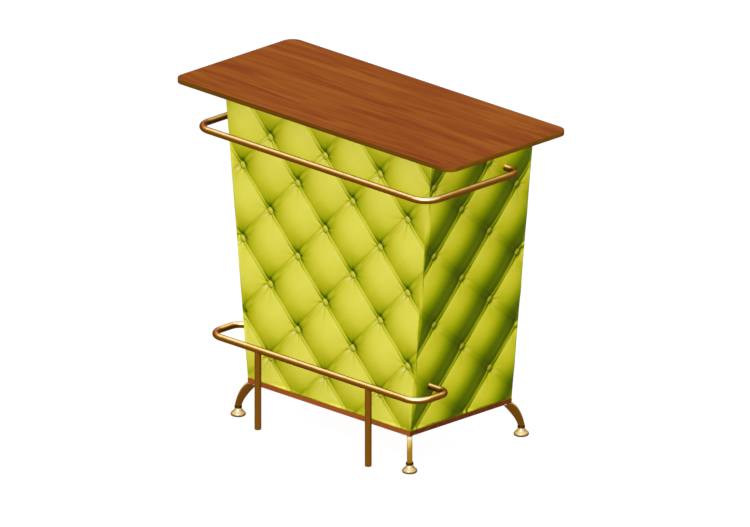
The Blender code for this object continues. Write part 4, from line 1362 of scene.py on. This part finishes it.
    def button_places(self) -> Array:
        """Find each whole button on the face.

        Returns:
            (n, 2) places across and up the face.
        """
        across, up = self.outline(self.spacing)
        count = np.arange(-self.lattice_reach, self.lattice_reach + 1)
        rising, falling = np.meshgrid(count, count, indexing="ij")
        local_x = (rising + falling) * self.button_pitch / 2
        local_z = (rising - falling) * self.button_pitch / 2
        at = np.stack([self.origin[0] + local_x * math.cos(self.turn) - local_z * math.sin(self.turn),
                       self.origin[1] + local_x * math.sin(self.turn) + local_z * math.cos(self.turn)],
                      axis=-1).reshape(-1, 2)
        margin = self.button_diameter / 2 + self.seam_gap
        left = np.interp(at[:, 1], up[:, 0], across[:, 0]) + margin
        right = np.interp(at[:, 1], up[:, 0], across[:, -1]) - margin
        inside = (at[:, 1] > up[0, 0] + margin) & (at[:, 1] < up[-1, 0] - margin)
        return at[inside & (at[:, 0] > left) & (at[:, 0] < right)]

    def build_buttons(self, finish: bpy.types.Material) -> bpy.types.Object:
        """Make the covered buttons: domes whose height falls as a circle's arc, with tucked rims.

        Args:
            finish: the cover's material.

        Returns:
            The piece that holds all the buttons of this pad.
        """
        at = self.button_places()
        around = np.linspace(0, math.tau, self.button_facets, endpoint=False)
        profile = np.array(BUTTON_DOME)
        radius = self.button_diameter / 2
        flat = profile[:, 0, None] * radius
        across = at[:, 0, None, None] + flat * np.cos(around)
        up = at[:, 1, None, None] + flat * np.sin(around)
        rise = self.button_rise * np.broadcast_to(profile[:, 1, None], flat.shape[:1] + around.shape)
        rise = rise - self.button_depth + self.button_proud
        points = self.place(across, up, np.broadcast_to(rise, across.shape)).reshape(-1, 3)
        quads = grid_quads(len(profile), len(around), wrap=True)
        each = len(profile) * len(around)
        quads = (quads[None] + (np.arange(len(at)) * each)[:, None, None]).reshape(-1, 4)
        mesh = mesh_from_arrays(self.face.value + "_buttons", points, quads)
        # Painted shade on the buttons: darker rims and a darker side towards the lower fold.
        even, lower = self.rolls.button_shade
        rim_shades = [even, *(even + more for more in self.button_rim_shades)]
        rim = np.interp(profile[:, 0], [0.0, self.button_rim_at, 1.0], rim_shades)[:, None]
        inner_way = math.pi / 4 if self.face is PadFace.FRONT else 3 * math.pi / 4 - self.turn
        lower_side = 0.5 - 0.5 * profile[:, 0, None] * np.cos(around - inner_way)
        dark_side = np.clip(2 * (lower_side - self.button_dark_from), 0, 1)
        shade = rim + (1 - rim) * lower * dark_side
        shade = np.broadcast_to(shade, across.shape).reshape(len(at), -1)
        grid = points.reshape(across.shape + (3,))
        closed = np.concatenate([grid, grid[:, :, :1]], axis=2)
        # Painted shade by how far each facet turns from the key light, deeper with the rim's painted shade.
        away = np.stack([self.painted_facing_shade(one, 0.0)[:, :-1].ravel() for one in closed])
        note_on_points(mesh, "painted_fold_shade", shade.ravel())
        note_on_points(mesh, "painted_facing_shade",
                       np.clip(away.ravel() + self.button_shade_tint * shade.ravel(), 0, 1))
        tidy_mesh(mesh)
        return add_piece(mesh, finish, "cabinet")


@dataclass
class Worktop:
    """The worktop's board and the strip round its edge, both with eased arrises."""

    corner: float = 40.0
    arris: float = 1.2
    strip: float = 1.5
    joint: float = 0.3
    corner_steps: int = 20
    arris_steps: int = 4

    def ring(self, inset: float, height: float) -> Array:
        """A rounded rectangle: four quarter circles, inset from the worktop's box, at one height.

        Args:
            inset: how far inside the box it runs, in millimetres.
            height: its height over the floor.

        Returns:
            The ring's points.
        """
        low, high = cad_box("worktop_edge_band")
        radius = self.corner - inset
        angle = np.linspace(0, math.pi / 2, self.corner_steps + 1)
        signs = ((1, 1, 0), (-1, 1, 1), (-1, -1, 2), (1, -1, 3))
        parts = []
        for sign_x, sign_y, quarter in signs:
            centre = np.array([(high[0] if sign_x > 0 else low[0]) - sign_x * self.corner,
                               (high[1] if sign_y > 0 else low[1]) - sign_y * self.corner])
            turn = angle + quarter * math.pi / 2
            parts.append(centre + radius * np.stack([np.cos(turn), np.sin(turn)], axis=-1))
        flat = np.vstack(parts)
        return np.column_stack([flat, np.full(len(flat), height)])

    def build(self, finishes: Finishes) -> None:
        """Make the board and the strip as rings joined up the edge.

        Args:
            finishes: the cabinet's finishes.
        """
        low, high = cad_box("worktop")
        bottom, top = low[2], high[2]
        arris = self.arris
        bends = np.linspace(0, math.pi / 2, self.arris_steps + 1)
        inner = self.strip + self.joint
        rings = [self.ring(inner, bottom), self.ring(inner, top)]
        mesh = mesh_from_arrays("worktop_board", np.vstack(rings),
                                grid_quads(2, len(rings[0]), wrap=True))
        close_holes(mesh)
        tidy_mesh(mesh)
        add_piece(mesh, finishes.top_veneer, "cabinet", ("worktop",))
        outer = [self.ring(arris * (1 - math.sin(b)), bottom + arris * (1 - math.cos(b))) for b in bends]
        outer += [self.ring(arris * (1 - math.cos(b)), top - arris * (1 - math.sin(b))) for b in bends]
        outer += [self.ring(self.strip, top), self.ring(self.strip, bottom), outer[0]]
        mesh = mesh_from_arrays("worktop_strip", np.vstack(outer),
                                grid_quads(len(outer), len(outer[0]), wrap=True))
        tidy_mesh(mesh)
        add_piece(mesh, finishes.edge_strip, "cabinet", ("worktop_edge_band",))


@dataclass
class BarRail:
    """One bent tube: straight runs and quarter bends carried by a round section."""

    name: str
    front_bend: float
    back_bend: float
    diameter: float = 22.0
    facets: int = 40
    bend_points: int = 25
    straight_points: int = 12

    def path(self) -> Array:
        """The tube's middle line, from one end board round the front to the other.

        Returns:
            The line's points.
        """
        low, high = cad_box(self.name)
        radius = self.diameter / 2
        stub_y = float(np.mean([cad_box(self.name + "_plug_right")[k][1] for k in (0, 1)]))
        end_x = cad_box(self.name + "_plug_right")[0][0]
        side, front, z = high[0] - radius, low[1] + radius, (low[2] + high[2]) / 2
        turn = np.linspace(0, math.pi / 2, self.bend_points)
        bends = []
        for centre, bend, start in (((side - self.back_bend, stub_y - self.back_bend), self.back_bend, 1),
                                    ((side - self.front_bend, front + self.front_bend), self.front_bend, 0)):
            angle = start * math.pi / 2 - turn
            bends.append(np.array(centre) + bend * np.stack([np.cos(angle), np.sin(angle)], axis=-1))
        straight = np.linspace([bends[1][-1][0], front], [0, front], self.straight_points)[1:]
        half = np.vstack([[[end_x, stub_y]], bends[0], bends[1], straight])
        both = np.vstack([half, half[-2::-1] * [-1, 1]])
        return np.column_stack([both, np.full(len(both), z)])

    def build(self, finishes: Finishes) -> None:
        """Make the tube: a circle carried along the line.

        Args:
            finishes: the cabinet's finishes.
        """
        angle = np.linspace(0, math.tau, self.facets, endpoint=False)
        section = self.diameter / 2 * np.stack([np.cos(angle), np.sin(angle)], axis=-1)
        mesh = carry_section(self.name + "_tube", self.path(), np.array([0.0, 0.0, 1.0]), section)
        add_piece(mesh, finishes.brass, "cabinet", (self.name,))


@dataclass
class RailPost:
    """A post under the foot rail, its top coped to the rail: each point ends where the tube begins."""

    side: str
    diameter: float = 22.0
    facets: int = 48
    rows: int = 9
    rail_gap: float = 0.3
    ease_height: float = 0.6
    ease_share: float = 0.95

    def build(self, finishes: Finishes) -> None:
        """Make the post's tube; its top follows rail height less the root of R squared less y squared.

        Args:
            finishes: the cabinet's finishes.
        """
        low, high = cad_box(self.side + "_post")
        rail_low, rail_high = cad_box("foot_rail")
        rail_z = (rail_low[2] + rail_high[2]) / 2
        radius = self.diameter / 2
        centre = (low + high) / 2
        angle = np.linspace(0, math.tau, self.facets, endpoint=False)
        ring_x, ring_y = radius * np.cos(angle), radius * np.sin(angle)
        reach = radius + self.rail_gap
        top = rail_z - np.sqrt(np.clip(reach ** 2 - ring_y ** 2, 0, None))
        share = np.linspace(0, 1, self.rows)[:, None]
        z = low[2] + self.ease_height + (top - low[2] - self.ease_height) * share
        outer = np.stack([centre[0] + ring_x + 0 * z, centre[1] + ring_y + 0 * z, z], axis=-1)
        eased = np.stack([centre[0] + ring_x * self.ease_share, centre[1] + ring_y * self.ease_share,
                          np.full_like(ring_x, low[2])], axis=-1)
        points = np.concatenate([eased[None], outer]).reshape(-1, 3)
        mesh = mesh_from_arrays(self.side + "_post_tube", points,
                                grid_quads(len(outer) + 1, self.facets, wrap=True))
        close_holes(mesh)
        tidy_mesh(mesh)
        add_piece(mesh, finishes.bronzed, "cabinet", (self.side + "_post",))
        dress_node(self.side + "_post_glide", finishes.plastic)


# Radius and height, in millimetres, of the bell foot from the floor up, of the bore for its stud,
# and of the collar below its last turn, which ends at the collar's own height.
BELL_CURVE = ((18.0, 0.0), (22.6, 1.6), (24.7, 5.0), (24.6, 8.6), (22.4, 12.0), (18.8, 15.0), (15.6, 18.4),
              (13.2, 22.0), (10.6, 25.4))
STUD_BORE = ((4.4, 26.0), (4.4, 12.0), (0.0, 12.0))
COLLAR_CURVE = ((4.4, 0.0), (11.0, 0.0), (12.2, 1.4), (12.5, 3.4), (11.6, 4.6), (12.4, 5.8), (12.2, 7.6))
COLLAR_TOP = 11.0
COLLAR_BORE = 4.4


@dataclass
class SabreFoot:
    """A curved leg with its collar and bell foot at one corner.

    Each edge of the leg is a cubic between the board and the collar. Its two control points are
    given as shares of the edge's run outwards and of its fall.
    """

    place: str
    thick: float = 17.5
    top_width: float = 35.5
    top_proud: float = 4.5
    foot_width: float = 21.5
    reach: float = 31.0
    arris: float = 2.0
    outer_bends: tuple[tuple[float, float], ...] = ((0.55, 0.22), (0.14, 0.62))
    inner_bends: tuple[tuple[float, float], ...] = ((0.62, 0.71), (0.11, 0.36))
    painted_light_out: float = 0.45
    painted_light_up: float = 0.89
    edge_points: int = 25
    corner_points: int = 5
    bell_facets: int = 48
    collar_facets: int = 40

    @property
    def centre(self) -> Array:
        """The foot's middle on the floor."""
        low, high = cad_box("bell_foot_" + self.place)
        return np.array([(low[0] + high[0]) / 2, (low[1] + high[1]) / 2, 0.0])

    @property
    def outward(self) -> Array:
        """The level direction from the body's corner to the foot."""
        along = np.array([-1.0 if "left" in self.place else 1.0, 1.0 if "rear" in self.place else -1.0, 0.0])
        return along / math.sqrt(2)

    def edges(self) -> tuple[Array, Array]:
        """Both edges of the leg: cubic curves that leave the board at a slope and turn down.

        Returns:
            The outer and the inner edge as (distance outwards from the foot's middle, height).
        """
        top = cad_box("leg_" + self.place)[1][2]
        end = cad_box("leg_" + self.place)[0][2]
        fall = top - end
        outer_top = self.top_proud - self.reach
        inner_top = outer_top - self.top_width
        half = self.foot_width / 2
        outer_run, inner_run = half - outer_top, -half - inner_top
        (high_run, high_fall), (low_run, low_fall) = self.outer_bends
        outer = np.array([[outer_top, top], [outer_top + high_run * outer_run, top - high_fall * fall],
                          [half - low_run * outer_run, top - low_fall * fall], [half, end]])
        (high_run, high_rise), (low_run, low_rise) = self.inner_bends
        inner = np.array([[inner_top, top], [-half - high_run * inner_run, end + high_rise * fall],
                          [-half - low_run * inner_run, end + low_rise * fall], [-half, end]])
        t = np.linspace(0, 1, self.edge_points)[:, None]
        weights = np.hstack([(1 - t) ** 3, 3 * t * (1 - t) ** 2, 3 * t * t * (1 - t), t ** 3])
        return weights @ outer, weights @ inner

    def build_leg(self, finish: bpy.types.Material) -> None:
        """Make the leg: rings between both edges, each a rectangle whose corners are quarter circles.

        Args:
            finish: the leg's material.
        """
        outer, inner = self.edges()
        middle = (outer + inner) / 2
        half_span = (outer - inner) / 2
        reach = np.linalg.norm(half_span, axis=1)
        way = half_span / reach[:, None]
        corner = np.linspace(0, math.pi / 2, self.corner_points)
        half_thick = self.thick / 2
        rings = []
        for quarter, (sign_a, sign_b) in enumerate(((1, 1), (-1, 1), (-1, -1), (1, -1))):
            angle = corner + quarter * math.pi / 2
            across = sign_a * (reach[:, None] - self.arris) + self.arris * np.cos(angle)
            sideways = sign_b * (half_thick - self.arris) + self.arris * np.sin(angle) + 0 * across
            rings.append(np.stack([across, sideways], axis=-1))
        ring = np.concatenate(rings, axis=1)
        level = middle[:, None, 0] + ring[..., 0] * way[:, None, 0]
        height = middle[:, None, 1] + ring[..., 0] * way[:, None, 1]
        side = np.array([-self.outward[1], self.outward[0], 0.0])
        points = (self.centre + level[..., None] * self.outward + ring[..., 1:] * side
                  + height[..., None] * np.array([0.0, 0.0, 1.0]))
        points[0, :, 2] = outer[0, 1]
        points[-1, :, 2] = outer[-1, 1]
        mesh = mesh_from_arrays("sabre_leg_" + self.place, points.reshape(-1, 3),
                                grid_quads(len(points), ring.shape[1], wrap=True))
        close_holes(mesh)
        tidy_mesh(mesh)
        # Painted highlight on the leg's outer, upper face; painted shade on the far side.
        mark_painted_light(mesh, (self.painted_light_out * self.outward[0], self.painted_light_out * self.outward[1],
                           self.painted_light_up))
        add_piece(mesh, finish, "cabinet", ("leg_" + self.place,))

    def build_foot(self, finishes: Finishes) -> None:
        """Make the bell and the collar as turned profiles.

        Args:
            finishes: the cabinet's finishes.
        """
        up = np.array([0.0, 0.0, 1.0])
        profile = np.vstack([[[0.0, 0.0]], spline_through(np.array(BELL_CURVE), 5), STUD_BORE])
        mesh = turn_profile("bell_" + self.place, profile, self.centre, up, self.bell_facets)
        add_piece(mesh, finishes.foot_brass, "foot_" + self.place, ("bell_foot_" + self.place,))
        low, high = cad_box("leg_collar_" + self.place)
        height = high[2] - low[2]
        ring = np.array([*COLLAR_CURVE, (COLLAR_TOP, height), (COLLAR_BORE, height), COLLAR_CURVE[0]])
        mesh = turn_profile("collar_ring_" + self.place, ring, self.centre + up * low[2], up,
                            self.collar_facets)
        add_piece(mesh, finishes.dark_brass, "cabinet", ("leg_collar_" + self.place,))
        dress_node("leg_plate_" + self.place, finishes.zinc)
        dress_node("levelling_stud_" + self.place, finishes.zinc)


@dataclass
class Carcass:
    """The boards, shelves, doors and fittings whose frame shapes stay as they are."""

    level_boards: tuple[str, ...] = ("bottom_board", "fixed_shelf", "adjustable_shelf", "front_top_rail",
                                     "rear_top_rail", "front_board")
    upright_boards: tuple[str, ...] = ("left_end_board", "right_end_board", "left_door", "right_door")
    tracks: tuple[str, ...] = ("lower_door_track", "upper_door_track")

    def dress(self, finishes: Finishes) -> None:
        """Give every kept node its finish.

        Args:
            finishes: the cabinet's finishes.
        """
        for node in self.level_boards:
            dress_node(node, finishes.board_veneer)
        for node in self.upright_boards:
            dress_node(node, finishes.upright_veneer)
        for node in self.tracks:
            dress_node(node, finishes.plastic)
        for side in ("left", "right"):
            dress_node(side + "_door_pull", finishes.satin_brass)
            for row in ("front", "rear"):
                dress_node(f"shelf_pin_{row}_{side}", finishes.zinc)
            for rail in ("hand_rail", "foot_rail"):
                dress_node(f"{rail}_bolt_{side}", finishes.zinc)
                dress_node(f"{rail}_plug_{side}", finishes.zinc)


@dataclass
class Studio:
    """A white floor and background, one soft key lamp and a faint fill, and the camera.

    The picture is a parallel projection from 45 degrees round and one in three upwards. Both key
    lamps share a place: one casts the shadows, and the other, without any, keeps them faint.
    """

    pixels_per_mm: float = 0.3133
    middle_right_px: float = 4.1
    middle_down_px: float = 160.2
    key_from: tuple[float, float, float] = KEY_FROM
    key_level: float = KEY_LEVEL
    key_spread: float = 25.0
    shadow_share: float = 0.12
    rear_from: tuple[float, float, float] = (-0.3, 0.8, 0.5)
    rear_level: float = 0.35
    rear_spread: float = 60.0
    fill_level: float = FILL_LEVEL
    floor_colour: float = 0.2
    floor_glow: float = 0.82
    floor_reach: float = 15000.0
    camera_away: float = 4000.0
    camera_sees: float = 30000.0

    def camera(self) -> None:
        """Aim the camera so that the worktop's middle lands where the picture has it."""
        toward = np.array([2.0, -2.0, 1.0]) / 3
        right = np.array([1.0, 1.0, 0.0]) / math.sqrt(2)
        up = np.cross(toward, right)
        low, high = cad_box("worktop")
        middle = np.array([(low[0] + high[0]) / 2, (low[1] + high[1]) / 2, high[2]])
        aim = middle + (right * self.middle_right_px - up * self.middle_down_px) / self.pixels_per_mm
        data = bpy.data.cameras.new("camera")
        data.type = "ORTHO"
        data.ortho_scale = IMAGE_WIDTH_PX / self.pixels_per_mm * METRES
        data.clip_end = self.camera_sees * METRES
        camera = bpy.data.objects.new("camera", data)
        camera.location = (aim + toward * self.camera_away) * METRES
        camera.rotation_mode = "QUATERNION"
        camera.rotation_quaternion = Vector(-toward).to_track_quat("-Z", "Y")
        bpy.context.scene.collection.objects.link(camera)
        bpy.context.scene.camera = camera

    def sun(self, name: str, direction: tuple[float, float, float], level: float, spread: float,
            shadows: bool = True) -> None:
        """Add a lamp that shines from one direction.

        Args:
            name: the lamp's name.
            direction: the way to the lamp.
            level: 1 renders a surface that faces it as its colour is written.
            spread: the angle over which its light comes, in degrees.
            shadows: whether it casts any.
        """
        data = bpy.data.lights.new(name, "SUN")
        data.use_shadow = shadows
        data.energy = level * math.pi
        data.angle = math.radians(spread)
        lamp = bpy.data.objects.new(name, data)
        lamp.rotation_mode = "QUATERNION"
        lamp.rotation_quaternion = (-Vector(direction)).to_track_quat("-Z", "Y")
        bpy.context.scene.collection.objects.link(lamp)

    def seen_ray(self, tree: bpy.types.NodeTree) -> bpy.types.NodeSocket:
        """Tell rays that show a surface from those that only light it.

        Args:
            tree: the material's or the world's tree.

        Returns:
            An output that is 1 for rays from the camera, in a reflection or through glass.
        """
        path = add_node(tree, "ShaderNodeLightPath")
        first = add_node(tree, "ShaderNodeMath", links={0: path.outputs["Is Camera Ray"],
                                                        1: path.outputs["Is Glossy Ray"]},
                         operation="MAXIMUM")
        both = add_node(tree, "ShaderNodeMath", links={0: first.outputs[0],
                                                       1: path.outputs["Is Transmission Ray"]},
                        operation="MAXIMUM")
        return both.outputs[0]

    def world(self) -> None:
        """A world that is white where it is seen and gives only a faint fill."""
        world = bpy.data.worlds.new("studio")
        bpy.context.scene.world = world
        world.use_nodes = True
        tree = world.node_tree
        tree.nodes.clear()
        level = add_node(tree, "ShaderNodeMix", {"A": self.fill_level, "B": 1.0},
                         {"Factor": self.seen_ray(tree)})
        background = add_node(tree, "ShaderNodeBackground", {"Color": (1.0, 1.0, 1.0, 1.0)},
                              {"Strength": level.outputs["Result"]})
        add_node(tree, "ShaderNodeOutputWorld", links={"Surface": background.outputs["Background"]})

    def floor(self) -> None:
        """A floor that is white where it is seen and keeps the cabinet's shadow."""
        reach = self.floor_reach
        corners = np.array([[-reach, -reach, 0.0], [reach, -reach, 0.0], [reach, reach, 0.0],
                            [-reach, reach, 0.0]])
        mesh = mesh_from_arrays("floor", corners, np.array([[0, 1, 2, 3]]))
        material = bpy.data.materials.new("floor_white")
        material.use_nodes = True
        tree = material.node_tree
        tree.nodes.clear()
        lit = add_node(tree, "ShaderNodeBsdfDiffuse", {"Color": (*[self.floor_colour] * 3, 1.0)})
        glow = add_node(tree, "ShaderNodeEmission",
                        {"Color": (1.0, 1.0, 1.0, 1.0), "Strength": self.floor_glow})
        seen = add_node(tree, "ShaderNodeAddShader", links={0: lit.outputs[0], 1: glow.outputs[0]})
        shown = add_node(tree, "ShaderNodeMixShader", links={0: self.seen_ray(tree), 1: lit.outputs[0],
                                                            2: seen.outputs[0]})
        add_node(tree, "ShaderNodeOutputMaterial", links={"Surface": shown.outputs[0]})
        mesh.materials.append(material)
        floor = bpy.data.objects.new("floor", mesh)
        bpy.context.scene.collection.objects.link(floor)

    def build(self) -> None:
        """Set up the camera, the lamps, the world and the floor."""
        self.camera()
        self.sun("key_lamp", self.key_from, self.key_level * self.shadow_share, self.key_spread)
        self.sun("soft_key_lamp", self.key_from, self.key_level * (1 - self.shadow_share),
                 self.key_spread, False)
        self.sun("rear_lamp", self.rear_from, self.rear_level, self.rear_spread)
        self.world()
        self.floor()
        bpy.context.scene.view_settings.view_transform = "Standard"


def main() -> None:
    """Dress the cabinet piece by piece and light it."""
    logging.basicConfig(level=logging.INFO, format="%(message)s")
    finishes = Finishes()
    carcass = CarcassShape()
    Studio().build()
    Carcass().dress(finishes)
    Worktop().build(finishes)
    for face in PadFace:
        pad = TuftedPad(face, carcass)
        pad.build(finishes.leatherette)
        pad.build_buttons(finishes.leatherette)
    BarRail("hand_rail", front_bend=60.0, back_bend=42.0).build(finishes)
    BarRail("foot_rail", front_bend=55.0, back_bend=38.0).build(finishes)
    for side in ("left", "right"):
        RailPost(side).build(finishes)
    for row in ("front", "rear"):
        for side in ("left", "right"):
            foot = SabreFoot(f"{row}_{side}")
            foot.build_leg(finishes.leg_brass)
            foot.build_foot(finishes)


if __name__ == "__main__":
    main()
